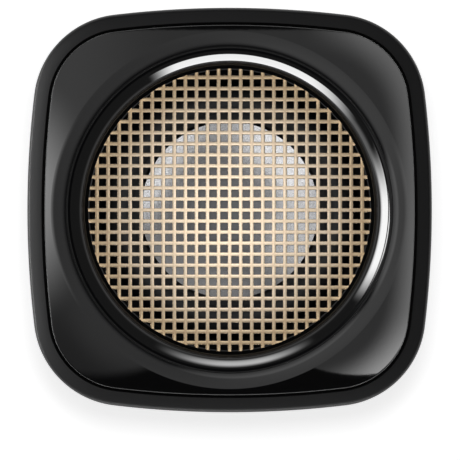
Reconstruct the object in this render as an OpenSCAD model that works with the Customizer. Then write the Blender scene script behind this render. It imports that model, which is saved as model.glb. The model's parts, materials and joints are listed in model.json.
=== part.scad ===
// Smart home hub: a squircle puck that lies on its back, with a loudspeaker facing up behind a
// perforated grille. Millimetres, +Z up, origin on the surface under the middle of the casing.
// The ports and controls are in the rear side, +Y.

/* [Casing] */
// Width and depth of the casing at its widest line
body_w = 110; // [106:1:150]
// Height from the surface to the crest of the trim ring
body_h = 42; // [41.5:0.5:60]
// Radius of the outline's four corners
corner_r = 24.7; // [22:0.1:30]
// Radius of the bow of each side
side_r = 264; // [200:1:500]
// Thickness of the casing's wall
wall = 2.2; // [1.6:0.1:2.8]
// How far the wall leans in between its widest line and the foot roll
taper = 3; // [1:0.1:4]
// Radius of the roll between the wall and the underside
foot_roll_r = 7.5; // [6:0.1:9]
// Radius of the roll at the front edge of the rim
rim_roll_r = 1.4; // [0.8:0.1:1.8]
// Width of the rim between the outline and the groove
rim_w = 3.8; // [3.4:0.1:5]
// How far the rim lies below the bezel's plateau
rim_drop = 2; // [1:0.1:3]
// Fall of the rim from the groove to the outline
rim_fall = 0.6; // [0:0.1:1]

/* [Bezel] */
// Width of the groove between rim and bezel
groove_w = 0.8; // [0.5:0.1:1.2]
// Radius of the roll along the bezel's edge
bezel_roll_r = 0.6; // [0.4:0.1:1.6]
// Thickness of the bezel's plate
bezel_t = 2.4; // [2:0.1:3]
// Thickness of the bezel's skirt
skirt_t = 1.5; // [1.2:0.1:2]
// Depth of the skirt below the plateau
skirt_h = 8; // [7:0.1:10]
// Width of the concave flare outside the trim ring
flare_w = 5; // [3:0.1:5.2]
// Radius of the flare's hollow
flare_hollow_r = 9; // [7:0.1:12]

/* [Trim ring and grille] */
// Radius of the opening inside the trim ring
ring_in_r = 39; // [32:0.1:40]
// Radius of the trim ring's inner roll
ring_roll_in = 4.2; // [3.6:0.1:4.4]
// Radius of the trim ring's outer roll
ring_roll_out = 1.1; // [0.9:0.1:1.4]
// Height of the trim ring's crest above the plateau
ring_rise = 2.4; // [2.2:0.1:3]
// Centre distance of the grille's holes
hole_pitch = 3; // [2.4:0.1:4]
// Side of each square hole
hole_w = 1.95; // [1.5:0.05:2.3]
// Thickness of the grille's sheet
sheet_t = 0.8; // [0.6:0.1:1]
// Rise of the grille's dome
grille_rise = 1.6; // [1.2:0.1:2]

/* [Loudspeaker] */
// Width of the surround's flat lip under the edge of the opening
lip_w = 4.1; // [3.6:0.1:5]
// Width of the surround's roll
roll_w = 8.7; // [7:0.1:9.4]
// Height of the surround's roll
roll_h = 3.3; // [2.5:0.1:3.5]
// Width of the bare cone between surround and dust cap
cone_ledge = 2.2; // [1.9:0.1:3]
// Rise of the dust cap's dome
cap_rise = 3.6; // [2.5:0.1:3.8]
// Width of the cone between the surround's roll and the voice coil former
cone_w = 13.8; // [12:0.1:16.6]
// Travel of the cone each way from rest
cone_travel = 2; // [1:0.1:2.4]

/* [Base, board and ports] */
// Height of the feet under the base cover
foot_h = 1.5; // [1:0.1:3]
// Radius of a foot
foot_r = 5.5; // [5:0.1:6]
// Thickness of the base cover
cover_t = 1.8; // [1.6:0.1:2.2]
// Centre distance of the two keyholes
keyhole_span = 60; // [50:1:64]
// Radius of a keyhole's entry, for a screw head
keyhole_r = 4; // [3.5:0.1:4.5]
// Width of a keyhole's slot, for a screw shank
keyhole_slot = 4.2; // [3.6:0.1:4.4]
// Thickness of the main board
board_t = 1.6; // [1:0.1:1.6]
// Travel of the reset button
button_travel = 0.5; // [0.3:0.1:0.6]
// Travel of the mute slider
slider_travel = 2; // [1.5:0.1:2.5]

/* [Hidden] */

$fn = 72;
fine = 180;      // circle steps of the large round pieces
side_steps = 6;  // facets along a bowed side
corner_steps = 16;
roll_steps = 5;
fit = 0.1;       // gap between pieces that seat in each other
gap = 0.3;       // gap between pieces that only pass each other
far = 200;       // reach of a cutting block
cut = 1;         // how far a cut runs past the face it opens

// Outline: four bowed sides and four round corners, tangent to each other
bow_c = side_r - body_w / 2;
corner_c = (sqrt(2 * pow(side_r - corner_r, 2) - pow(bow_c, 2)) - bow_c) / 2;
side_turn = atan2(corner_c, corner_c + bow_c);

// Heights, from the top down
plateau_z = body_h - ring_rise;
rim_z = plateau_z - rim_drop;
bezel_low_z = plateau_z - bezel_t;
seat_z = plateau_z - 1.4;            // floor of the channel that holds grille and trim ring
skirt_z = plateau_z - skirt_h;
flange_z = plateau_z - 5.7;          // top of the basket's flange
gasket_t = 0.5;
boss_z = flange_z + gasket_t;        // underside of the bezel's mounting ring
groove_z = plateau_z - 6.2;          // ledge under the groove

// Heights, from the bottom up
base_z = foot_h;
ledge_z = base_z + cover_t + fit;    // underside of the casing's ledge
ledge_t = 1.8;
screw_boss_t = 3;
post_z = ledge_z + screw_boss_t;     // where the bezel's posts stand on the casing
standoff_h = 4.3;
board_z = base_z + cover_t + standoff_h;
board_top = board_z + board_t;

// Offsets from the casing's outline
groove_in = -(rim_w + groove_w);
flat_w = 0.7;                        // flat underside of the casing inside its foot roll
ledge_w = 5;                         // ledge that the base cover lies under
cover_off = -(foot_roll_r + taper + flat_w);
ledge_off = cover_off - ledge_w;
board_off = -(taper + wall + 1);

// Radii of the ring and of what seats round the opening, from the trim ring's inner edge
crest_r = ring_in_r + ring_roll_in;
channel_r = crest_r + ring_roll_out + fit;   // wall of the channel for grille and trim ring
flare_r = channel_r + flare_w;
seat_w = 0.9;                                // width of the grille's seat inside the opening
flange_r = ring_in_r + 2;                    // loudspeaker's flange
boss_r = flange_r + 1.2;                     // bezel's mounting ring over the flange
ear_at = flange_r + 2.6;                     // loudspeaker's screws
roll_out_r = ring_in_r - lip_w;
roll_in_r = roll_out_r - roll_w;
cap_r = roll_in_r - cone_ledge;
coil_r = roll_in_r - cone_w;                 // voice coil former, inside

// Case screws under the feet, on the diagonals
foot_margin = 0.9;                           // cover left between a foot and the cover's edge
screw_at = corner_c + (corner_r + cover_off) * cos(45) - foot_r - foot_margin;
screw_r = 1.5;
post_r = 3.4;

// Wall of the casing at a height, as an offset of the outline
function wall_off(z) =
  let (low = base_z + foot_roll_r, high = rim_z - rim_fall - rim_roll_r,
    t = max(0, min(1, (high - z) / (high - low))))
  -taper * t * t;

// Y of the casing's outer face at the rear, at x and height z
function rear_y(x, z) = sqrt(pow(side_r + wall_off(z), 2) - x * x) - bow_c;

function turned(p, a) = [p[0] * cos(a) - p[1] * sin(a), p[0] * sin(a) + p[1] * cos(a)];

// The outline's points, moved outwards by off
function outline(off) = [for (k = [0:3]) each concat(
  [for (i = [0:side_steps - 1]) let (a = side_turn * (2 * i / side_steps - 1))
    turned([(side_r + off) * cos(a) - bow_c, (side_r + off) * sin(a)], 90 * k)],
  [for (i = [0:corner_steps - 1])
    let (a = side_turn + (90 - 2 * side_turn) * i / corner_steps)
    turned([corner_c + (corner_r + off) * cos(a), corner_c + (corner_r + off) * sin(a)], 90 * k)]
)];

// Points of an arc in a section, from angle a0 to a1
function arc(c, r, a0, a1, steps = roll_steps) =
  [for (i = [0:steps]) let (a = a0 + (a1 - a0) * i / steps) [c[0] + r * cos(a), c[1] + r * sin(a)]];

// Wraps a section of [offset, z] points round the outline. A looped section makes a ring,
// an open one is closed by a flat face at each end.
module wrap(section, looped) {
  n = len(outline(0));
  m = len(section);
  bands = looped ? m : m - 1;
  polyhedron(
    points = [for (s = section) for (p = outline(s[0])) [p[0], p[1], s[1]]],
    faces = concat(
      [for (i = [0:bands - 1], j = [0:n - 1]) let (k = (j + 1) % n, u = (i + 1) % m)
        [i * n + j, u * n + j, u * n + k, i * n + k]],
      looped ? [] : [[for (j = [0:n - 1]) j], [for (j = [n - 1:-1:0]) (m - 1) * n + j]]),
    convexity = 8);
}

module slab(off, z0, z1) {
  translate([0, 0, z0]) linear_extrude(z1 - z0) polygon(outline(off));
}

module tube(r_out, r_in, z0, z1, steps = fine) {
  translate([0, 0, z0]) difference() {
    cylinder(r = r_out, h = z1 - z0, $fn = steps);
    translate([0, 0, -cut]) cylinder(r = r_in, h = z1 - z0 + 2 * cut, $fn = steps);
  }
}

// A block given by its two corners
module box(low, high) {
  translate(low) cube(high - low);
}

// A cylinder along Y from y0 to y1
module along_y(r, y0, y1) {
  translate([0, y1, 0]) rotate([90, 0, 0]) cylinder(r = r, h = y1 - y0);
}

module at_case_screws() {
  for (k = [0:3]) rotate(90 * k) translate([screw_at, screw_at, 0]) children();
}

// ---- Casing ----

housing_color = [0.07, 0.07, 0.075];
gloss_color = [0.02, 0.02, 0.022];

inner_roll_r = foot_roll_r - wall;
roll_c = [-(taper + foot_roll_r), base_z + foot_roll_r];
rim_c = [-rim_roll_r, rim_z - rim_fall - rim_roll_r];
wall_steps = 4;

housing_section = concat(
  [[cover_off, base_z]],
  arc(roll_c, foot_roll_r, -90, 0),
  [for (i = [1:wall_steps]) let (z = roll_c[1] + (rim_c[1] - roll_c[1]) * i / wall_steps)
    [wall_off(z), z]],
  [for (p = arc(rim_c, rim_roll_r, 0, 80)) if (p[1] > rim_c[1]) p],
  [[-rim_w + 0.3, rim_z], [-rim_w, rim_z - 0.4],
    [-rim_w, groove_z], [groove_in + gap, groove_z], [groove_in + gap, groove_z - 1],
    [wall_off(groove_z - 4) - wall, groove_z - 4]],
  [for (i = [wall_steps - 2:-1:1]) let (z = roll_c[1] + (rim_c[1] - roll_c[1]) * i / wall_steps)
    [wall_off(z) - wall, z]],
  [for (p = arc(roll_c, inner_roll_r, 0, -90)) if (p[1] > ledge_z + ledge_t) p],
  [[ledge_off, ledge_z + ledge_t], [ledge_off, ledge_z], [cover_off, ledge_z]]
);

// Ports and controls, placed along the rear side
jack_x = -16;
jack_w = 16;
jack_h = 13.4;
jack_l = 21;
jack_y = rear_y(jack_x, board_top + jack_h / 2) - 1.2;
usb_x = 1;
usb_w = 8.94;
usb_h = 3.2;
usb_l = 7.4;
usb_y = rear_y(usb_x, board_top) - 1.6;
usb_z = board_top + usb_h / 2 + 0.1;
plug_w = 12.6;    // recess for the overmould of a USB-C plug
plug_h = 6.8;
button_x = 13;
button_r = 2;
slider_x = 24;
control_z = board_top + 3.5;
knob_w = 4;
knob_h = 2.4;
slot_w = knob_w + slider_travel + 2 * gap;
slot_h = knob_h + 2 * gap;
control_in_y = rear_y(slider_x + slot_w / 2 + 2, control_z) - wall - 0.5;
mic_at = 14;      // distance of each microphone from the middle of its side
mic_z = groove_z - 1;

// A stadium-shaped rod along Y, w wide and h high
module slot_y(w, h, y0, y1) {
  for (s = [-1, 1]) translate([s * (w - h) / 2, 0, 0]) along_y(h / 2, y0, y1);
  box([-(w - h) / 2, y0, -h / 2], [(w - h) / 2, y1, h / 2]);
}

// A web from each case screw out to the casing's ledge, wider all round by more
module screw_webs(z0, z1, more) {
  for (k = [0:3]) rotate(45 + 90 * k)
    box([screw_at * sqrt(2), -web_w / 2 - more, z0], [screw_at * sqrt(2) + web_l, web_w / 2 + more, z1]);
}

web_w = 3;
web_l = 7;

module housing() {
  color(housing_color) difference() {
    union() {
      wrap(housing_section, true);
      at_case_screws() translate([0, 0, ledge_z]) cylinder(r = post_r + 1, h = screw_boss_t);
      screw_webs(ledge_z, ledge_z + ledge_t, 0);
    }
    at_case_screws() translate([0, 0, ledge_z - cut])
      cylinder(r = screw_r + 0.2, h = screw_boss_t + 2 * cut);
    box([jack_x - jack_w / 2 - gap, jack_y - 8, board_top - gap],
      [jack_x + jack_w / 2 + gap, body_w, board_top + jack_h + gap]);
    translate([usb_x, 0, usb_z]) slot_y(usb_w + 2 * gap, usb_h + 2 * gap, usb_y - 6, body_w);
    translate([usb_x, 0, usb_z]) slot_y(plug_w, plug_h, usb_y - 0.2, body_w);
    translate([button_x, 0, control_z]) along_y(button_r + fit, control_in_y - 6, body_w);
    box([slider_x - slot_w / 2, control_in_y - 6, control_z - slot_h / 2],
      [slider_x + slot_w / 2, body_w, control_z + slot_h / 2]);
  }
}

// ---- Base cover, feet and case screws ----

recess_t = 0.8;
head_r = 2.7;
head_t = 1.6;
pad_t = foot_h + recess_t;
standoff_r = 2.8;
standoff_d = screw_at - 7.6;   // keeps each standoff clear of the casing's screw boss
standoff_at = [for (x = [-1, 1], y = [-1, 1]) standoff_d * [x, y]];
board_screw_r = 0.9;
lip_t = 1.4;      // lip of the cover inside the casing's ledge
lip_h = 1.6;
keyhole_l = 5;    // length of a keyhole's slot beyond its entry
vent_y = 22;
vent_side = 4;    // vents on each side of the middle one
vent_w = 1.6;
vent_l = 12;
vent_pitch = 3.6;

module keyhole() {
  translate([0, 0, -cut]) {
    cylinder(r = keyhole_r, h = cover_t + 2 * cut);
    translate([-keyhole_slot / 2, -keyhole_r - keyhole_l, 0])
      cube([keyhole_slot, keyhole_r + keyhole_l, cover_t + 2 * cut]);
    translate([0, -keyhole_r - keyhole_l, 0]) cylinder(d = keyhole_slot, h = cover_t + 2 * cut);
  }
}

module base_cover() {
  color(housing_color) difference() {
    union() {
      slab(cover_off - fit, base_z, base_z + cover_t);
      difference() {
        slab(ledge_off - gap, base_z + cover_t, base_z + cover_t + lip_h);
        slab(ledge_off - gap - lip_t, base_z + cover_t - cut, base_z + cover_t + lip_h + cut);
        at_case_screws() cylinder(r = post_r + 1 + gap, h = far);
        screw_webs(base_z, far, gap);
      }
      for (p = standoff_at) translate([p[0], p[1], base_z])
        cylinder(r = standoff_r, h = board_z - base_z);
    }
    for (p = standoff_at) translate([p[0], p[1], base_z + cover_t])
      cylinder(r = board_screw_r, h = far);
    at_case_screws() {
      translate([0, 0, base_z - cut]) cylinder(r = foot_r + fit, h = recess_t + cut);
      cylinder(r = screw_r + 0.2, h = far);
    }
    for (s = [-1, 1]) translate([s * keyhole_span / 2, 0, base_z]) keyhole();
    for (s = [-1, 1], i = [-vent_side:vent_side])
      translate([i * vent_pitch, s * vent_y, base_z - cut])
      linear_extrude(cover_t + 2 * cut) {
        square([vent_w, vent_l - vent_w], center = true);
        for (e = [-1, 1]) translate([0, e * (vent_l - vent_w) / 2]) circle(d = vent_w, $fn = 24);
      }
  }
}

module rubber_feet() {
  color([0.09, 0.09, 0.09]) at_case_screws() difference() {
    rotate_extrude() polygon([[0, 0], [foot_r - 0.5, 0], [foot_r, 0.5], [foot_r, pad_t], [0, pad_t]]);
    translate([0, 0, pad_t - head_t - fit]) cylinder(r = head_r + fit, h = head_t + cut);
  }
}

screw_l = 16;

module case_screws() {
  color([0.6, 0.6, 0.62]) at_case_screws() difference() {
    union() {
      translate([0, 0, pad_t - head_t]) cylinder(r = head_r, h = head_t);
      translate([0, 0, pad_t]) cylinder(r = screw_r, h = screw_l);
    }
    translate([0, 0, pad_t - head_t - cut]) cylinder(r = 1.2, h = 0.9 + cut, $fn = 6);
  }
}

// ---- Front bezel, gasket, trim ring and grille ----

bezel_edge = groove_in;
bezel_section = concat(
  [[bezel_edge, skirt_z], [bezel_edge, plateau_z - bezel_roll_r]],
  [for (i = [1:roll_steps]) arc([bezel_edge - bezel_roll_r, plateau_z - bezel_roll_r],
    bezel_roll_r, 0, 90)[i]]
);
seat_in_r = ring_in_r - seat_w;
ear_r = 2.9;
driver_screw_r = 1;
driver_hole_r = 1.4;
driver_pilot_l = 3.2; // depth of the bezel's pilot holes
rib_t = 1.2;
rib_at = 7;           // distance of each rib from the diagonal
rib_l = 4;            // reach of each rib past the post's centre
flare_top = plateau_z + 1.25;
flare_sink = 0.04;    // how far the flare's hollow dips under the plateau

module at_ears() {
  for (k = [0:3]) rotate(90 * k) translate([ear_at, 0, 0]) children();
}

module flare() {
  root = [channel_r - 1, seat_z - 0.6];
  rotate_extrude($fn = fine) difference() {
    translate(root) square([flare_r, flare_top] - root);
    translate([flare_r, plateau_z + flare_hollow_r - flare_sink])
      circle(r = flare_hollow_r, $fn = fine);
  }
}

// A pair of ribs beside each post, clear of the loudspeaker's flange
module bezel_ribs() {
  difference() {
    for (k = [0:3]) rotate(45 + 90 * k) for (s = [-1, 1])
      box([boss_r - 0.5, s * rib_at - rib_t / 2, skirt_z + 1.5],
        [screw_at * sqrt(2) + rib_l, s * rib_at + rib_t / 2, bezel_low_z + 0.2]);
    translate([0, 0, skirt_z]) cylinder(r = flange_r + gap, h = boss_z - skirt_z, $fn = fine);
  }
}

module front_bezel() {
  color(gloss_color) difference() {
    union() {
      difference() {
        wrap(bezel_section, false);
        slab(bezel_edge - skirt_t, skirt_z - cut, bezel_low_z);
      }
      flare();
      tube(boss_r, seat_in_r, boss_z, bezel_low_z + 0.2);
      at_ears() translate([0, 0, boss_z]) cylinder(r = ear_r, h = bezel_low_z + 0.2 - boss_z);
      at_case_screws() translate([0, 0, post_z]) cylinder(r = post_r, h = bezel_low_z + 0.2 - post_z);
      bezel_ribs();
    }
    translate([0, 0, -cut]) cylinder(r = seat_in_r, h = far, $fn = fine);
    translate([0, 0, seat_z]) cylinder(r = channel_r, h = far, $fn = fine);
    at_ears() translate([0, 0, boss_z - cut]) cylinder(r = driver_screw_r, h = driver_pilot_l + cut);
    at_case_screws() translate([0, 0, post_z - cut]) cylinder(r = screw_r, h = screw_l);
    for (a = [0, 180], s = [-1, 1]) rotate(a) translate([body_w / 2 + bezel_edge - 4, s * mic_at, mic_z])
      rotate([0, 90, 0]) cylinder(r = 0.6, h = 8, $fn = 24);
  }
}

module seam_gasket() {
  color([0.12, 0.12, 0.12]) difference() {
    slab(-rim_w, groove_z, groove_z + 1);
    slab(groove_in, groove_z - cut, groove_z + 1 + cut);
  }
}

seat_ring_w = 2.6;    // width of the trim ring's foot in the channel
seat_ring_t = 1.4;
hold_w = 0.6;         // width of the trim ring's lip over the border of the grille
hold_t = 0.3;

module trim_ring() {
  low = seat_z + sheet_t;
  color(gloss_color) rotate_extrude($fn = fine) difference() {
    union() {
      intersection() {
        translate([crest_r, body_h - ring_roll_in]) circle(r = ring_roll_in, $fn = fine);
        translate([0, low]) square([crest_r, far]);
      }
      intersection() {
        translate([crest_r, body_h - ring_roll_out]) circle(r = ring_roll_out, $fn = fine);
        translate([crest_r, body_h - ring_roll_out]) square(far);
      }
      translate([crest_r - 0.2, low]) square([ring_roll_out + 0.2, body_h - ring_roll_out - low]);
      translate([channel_r - fit - seat_ring_w, seat_z]) square([seat_ring_w, seat_ring_t]);
      translate([crest_r - 0.5, low]) square([1, body_h - 0.6 - low]);
      translate([ring_in_r - hold_w, low + fit]) square([hold_w + 1, hold_t]);
    }
    translate([0, seat_z - cut]) square([channel_r - fit - seat_ring_w, sheet_t + cut]);
  }
}

grille_r = channel_r - fit - seat_ring_w - fit;
hole_reach = 0.3;     // how far the holes run on under the trim ring
dome_r = (pow(ring_in_r, 2) + pow(grille_rise, 2)) / (2 * grille_rise);
cells = ceil(ring_in_r / hole_pitch);

module speaker_grille() {
  shell_c = seat_z + grille_rise - dome_r;
  color([0.86, 0.76, 0.6]) union() {
    intersection() {
      difference() {
        translate([0, 0, shell_c]) sphere(r = dome_r + sheet_t, $fn = 360);
        translate([0, 0, shell_c]) sphere(r = dome_r, $fn = 360);
      }
      translate([0, 0, seat_z]) linear_extrude(far) difference() {
        circle(r = ring_in_r + 2 * hole_reach, $fn = fine);
        for (i = [-cells:cells - 1], j = [-cells:cells - 1]) {
          x = (i + 0.5) * hole_pitch;
          y = (j + 0.5) * hole_pitch;
          if (norm([abs(x) - hole_w / 2, abs(y) - hole_w / 2]) < ring_in_r)
            translate([x, y]) square(hole_w, center = true);
        }
      }
    }
    tube(grille_r, ring_in_r + hole_reach, seat_z, seat_z + sheet_t);
  }
}

// ---- Loudspeaker ----

flange_t = 1.5;
former_t = 0.15;
wire_t = 0.4;
air = 0.35;                          // gap each side of the voice coil
pole_r = coil_r - air;
cup_in_r = coil_r + former_t + wire_t + air;
cup_t = 3.2;
cup_r = cup_in_r + cup_t;
cup_floor = 2;
plate_t = 3;
plate_z = flange_z - 15.3;           // underside of the pole plate
overhang = 0.75;                     // how far the coil reaches past each face of the plate
coil_floor_gap = 0.85;               // left under the coil at the bottom of its travel
magnet_t = overhang + cone_travel + coil_floor_gap;
cup_z = plate_z - magnet_t - cup_floor;
coil_h = plate_t + 2 * overhang;
coil_z = plate_z - overhang;
spider_z = flange_z - 8.6;
spider_r = roll_in_r - 2.2;
shelf_in = spider_r - 1.4;           // basket's shelf that holds the spider
shelf_r = spider_r + 2.5;            // wall round that shelf
neck_z = flange_z - 5.6;             // where the cone meets the former
rim_in = roll_in_r + 0.4;            // outer edge of the cone
collar_z = plate_z + plate_t;        // top of the yoke cup

module driver_basket() {
  color([0.13, 0.13, 0.14]) difference() {
    union() {
      rotate_extrude($fn = fine) polygon([
        [roll_out_r + 0.1, flange_z], [flange_r, flange_z], [flange_r, flange_z - flange_t],
        [roll_out_r + 1.4, flange_z - flange_t], [shelf_r + 1, spider_z - 1.4],
        [cup_r + 2.2, collar_z - 1], [cup_r + 2.2, collar_z - 4], [cup_r, collar_z - 4],
        [cup_r, collar_z], [cup_in_r + 0.6, collar_z], [cup_in_r + 0.6, collar_z + 1.2],
        [cup_r + 1.8, collar_z + 1.2], [shelf_in, spider_z - 0.9], [shelf_in, spider_z],
        [shelf_r - 0.5, spider_z], [shelf_r - 0.5, spider_z + 0.6]]);
      at_ears() translate([0, 0, flange_z - flange_t]) cylinder(r = ear_r, h = flange_t);
      for (k = [0:3]) rotate(90 * k) box([flange_r - 2, -ear_r, flange_z - flange_t],
        [ear_at, ear_r, flange_z]);
    }
    at_ears() translate([0, 0, flange_z - flange_t - cut])
      cylinder(r = driver_hole_r, h = flange_t + 2 * cut);
    at_case_screws() cylinder(r = post_r + gap, h = far);
    for (k = [0:7]) rotate(22.5 + 45 * k) {
      box([shelf_r + 1.6, -6, spider_z + 1], [flange_r, 6, flange_z - flange_t - 0.8]);
      box([cup_r + 2.6, -3.6, collar_z - far], [spider_r - 2.6, 3.6, spider_z + 0.2]);
    }
  }
}

module driver_gasket() {
  color([0.16, 0.16, 0.17]) difference() {
    union() {
      tube(flange_r, roll_out_r + 2.2, flange_z, boss_z);
      at_ears() translate([0, 0, flange_z]) cylinder(r = ear_r, h = gasket_t);
    }
    at_ears() translate([0, 0, flange_z - cut]) cylinder(r = driver_hole_r, h = 3);
    at_case_screws() cylinder(r = post_r + gap, h = far);
  }
}

module driver_screws() {
  under = flange_z - flange_t;
  color([0.6, 0.6, 0.62]) at_ears() difference() {
    union() {
      translate([0, 0, under - 1.4]) cylinder(r = 2.2, h = 1.4);
      translate([0, 0, under]) cylinder(r = driver_screw_r, h = flange_t + gasket_t + driver_pilot_l - 0.2);
    }
    for (a = [0, 90]) rotate(a) box([-1.3, -0.3, under - 1.4 - cut], [1.3, 0.3, under - 0.7]);
  }
}

terminal_turn = -22.5;       // between an ear and a case screw
terminal_r = roll_out_r + 2.9;
terminal_pitch = 6;
terminal_l = 6;

module driver_terminals() {
  color([0.75, 0.6, 0.3]) rotate(terminal_turn) for (s = [-1, 1])
    translate([terminal_r, s * terminal_pitch / 2, flange_z - flange_t]) {
      box([-1.6, -2.2, -1], [1.6, 2.2, 0]);
      box([-0.25, -1.4, -terminal_l], [0.25, 1.4, -1]);
    }
}

module surround() {
  mid = (roll_in_r + roll_out_r) / 2;
  half = (roll_out_r - roll_in_r) / 2;
  r = (half * half + roll_h * roll_h) / (2 * roll_h);
  color([0.05, 0.05, 0.05]) rotate_extrude($fn = fine) union() {
    intersection() {
      difference() {
        translate([mid, flange_z + roll_h - r]) circle(r = r, $fn = fine);
        translate([mid, flange_z + roll_h - r]) circle(r = r - gasket_t, $fn = fine);
      }
      translate([0, flange_z]) square(far);
    }
    translate([roll_in_r - 1.3, flange_z]) square([1.6, gasket_t]);
    translate([roll_out_r - 0.3, flange_z]) square([2.4, gasket_t]);
  }
}

cone_in = coil_r + former_t;
cone_bend = rim_in - 1.9;            // where the cone's flat rim turns down
neck_top = neck_z + 0.3;

// Height of the cone's upper face at a radius
function cone_top(r) =
  flange_z - (cone_bend - r) * (flange_z - neck_top) / (cone_bend - cone_in);

module cone() {
  color([0.04, 0.04, 0.045]) rotate_extrude($fn = fine) polygon([
    [cone_in, neck_z - 0.4], [cone_bend + 0.2, flange_z - 0.6], [rim_in, flange_z - 0.6],
    [rim_in, flange_z], [cone_bend, flange_z], [cone_in, neck_top]]);
}

module dust_cap() {
  foot = cone_top(cap_r);
  r = (cap_r * cap_r + cap_rise * cap_rise) / (2 * cap_rise);
  color([0.75, 0.75, 0.77]) rotate_extrude($fn = fine) intersection() {
    difference() {
      translate([0, foot + cap_rise - r]) circle(r = r, $fn = 360);
      translate([0, foot + cap_rise - r]) circle(r = r - 0.4, $fn = 360);
    }
    translate([0, foot]) square(far);
  }
}

module voice_coil_former() {
  color([0.7, 0.5, 0.25])
    tube(coil_r + former_t, coil_r, coil_z, neck_z + 1.2);
}

module voice_coil() {
  color([0.72, 0.42, 0.2])
    tube(coil_r + former_t + wire_t, coil_r + former_t, coil_z, coil_z + coil_h);
}

spider_waves = 4;

function spider_mid(r) =
  spider_z + 0.2 + 0.7 * sin(360 * spider_waves * (r - coil_r - 1.5) / (spider_r - coil_r - 3.5));

module spider() {
  r0 = coil_r + 1.5;
  r1 = spider_r - 2;
  steps = 32;
  waves = [for (i = [0:steps]) let (r = r0 + (r1 - r0) * i / steps) [r, spider_mid(r)]];
  color([0.8, 0.65, 0.3]) rotate_extrude($fn = fine) polygon(concat(
    [[coil_r + former_t, spider_z]], [for (p = waves) [p[0], p[1] - 0.2]],
    [[shelf_r - 0.9, spider_z], [shelf_r - 0.9, spider_z + 0.4]],
    [for (i = [steps:-1:0]) [waves[i][0], waves[i][1] + 0.2]],
    [[coil_r + former_t, spider_z + 0.4]]));
}

module yoke_cup() {
  color([0.55, 0.55, 0.57]) difference() {
    translate([0, 0, cup_z]) cylinder(r = cup_r, h = collar_z - cup_z, $fn = fine);
    translate([0, 0, cup_z + cup_floor]) cylinder(r = cup_in_r, h = far, $fn = fine);
  }
}

module magnet() {
  color([0.35, 0.35, 0.37])
    translate([0, 0, cup_z + cup_floor]) cylinder(r = pole_r - 0.6, h = magnet_t, $fn = fine);
}

module pole_plate() {
  color([0.6, 0.6, 0.62]) translate([0, 0, plate_z]) cylinder(r = pole_r, h = plate_t, $fn = fine);
}

// ---- Main board and what it carries ----

header_at = [31, -17];

module main_board() {
  color([0.03, 0.22, 0.12]) difference() {
    slab(board_off, board_z, board_top);
    at_case_screws() cylinder(r = post_r + 0.5, h = far);
    for (p = standoff_at) translate([p[0], p[1], 0]) cylinder(r = 1.2, h = far);
  }
}

module board_screws() {
  color([0.6, 0.6, 0.62]) for (p = standoff_at) translate([p[0], p[1], 0]) difference() {
    union() {
      translate([0, 0, board_top]) cylinder(r = 2, h = 1.2);
      translate([0, 0, board_z - 3]) cylinder(r = board_screw_r, h = 3 + board_t + 0.4);
    }
    for (a = [0, 90]) rotate(a) box([-1.1, -0.25, board_top + 0.6], [1.1, 0.25, board_top + 3]);
  }
}

can_size = [30, 24, 2.2];

module shield_can() {
  color([0.78, 0.78, 0.8]) translate([-can_size[0] / 2, -can_size[1] / 2 - 4, board_top]) difference() {
    cube(can_size);
    translate([0.3, 0.3, -cut]) cube(can_size + [-0.6, -0.6, cut - 0.3]);
    for (i = [1:6], j = [1:4]) translate([4.3 * i, 4.8 * j, can_size[2] - cut])
      cylinder(r = 0.5, h = 2 * cut, $fn = 24);
  }
}

module board_components() {
  color([0.1, 0.1, 0.11]) translate([0, 0, board_top]) {
    for (p = [[-34, -8], [-34, 2]]) translate(p) cylinder(r = 3.2, h = 6.5);
    for (p = [[34, -6], [34, 6]]) translate(p) translate([-3, -3, 0]) cube([6, 6, 3]);
    for (p = [[-22, -38], [-10, -38]]) translate(p) translate([-3.5, -3.5, 0]) cube([7, 7, 1]);
    for (i = [0:6]) translate([2 + 3 * i, -40, 0]) cube([1.6, 0.8, 0.8]);
    for (i = [0:4]) translate([-2 + 3 * i, 36, 0]) cube([0.8, 1.6, 0.8]);
  }
}

module antennas() {
  color([0.8, 0.7, 0.45]) for (s = [-1, 1]) translate([s * 41, -22, board_top]) {
    box([-0.2, -9, 0], [0.2, -7.5, 6]);
    box([-0.2, -4.5, 0], [0.2, -3, 6]);
    box([-0.2, -9, 5], [0.2, 9, 8]);
  }
}

module speaker_header() {
  color([0.9, 0.88, 0.82]) translate([header_at[0], header_at[1], board_top]) difference() {
    box([-3, -3.6, 0], [3, 3.6, 6]);
    box([-2.2, -2.9, 1], [2.2, 2.9, 7]);
  }
}

// Sweeps a round section along a route
function unit(v) = v / norm(v);

module lead(route, r) {
  sides = 8;
  n = len(route);
  way = [for (i = [0:n - 1]) unit(route[min(i + 1, n - 1)] - route[max(i - 1, 0)])];
  polyhedron(
    points = [for (i = [0:n - 1]) let (u = cross(way[i], [0.31, 0.95, 0.02]), a = unit(u),
      b = cross(way[i], a)) for (k = [0:sides - 1])
        route[i] + r * (a * cos(360 * k / sides) + b * sin(360 * k / sides))],
    faces = concat(
      [for (i = [0:n - 2], k = [0:sides - 1]) let (m = (k + 1) % sides)
        [i * sides + k, (i + 1) * sides + k, (i + 1) * sides + m, i * sides + m]],
      [[for (k = [0:sides - 1]) k], [for (k = [sides - 1:-1:0]) (n - 1) * sides + k]]),
    convexity = 4);
}

// A smooth curve through a start, two pulls and an end
function bend(a, b, c, d, steps = 10) = [for (i = [0:steps]) let (t = i / steps, u = 1 - t)
  u * u * u * a + 3 * u * u * t * b + 3 * u * t * t * c + t * t * t * d];

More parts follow.
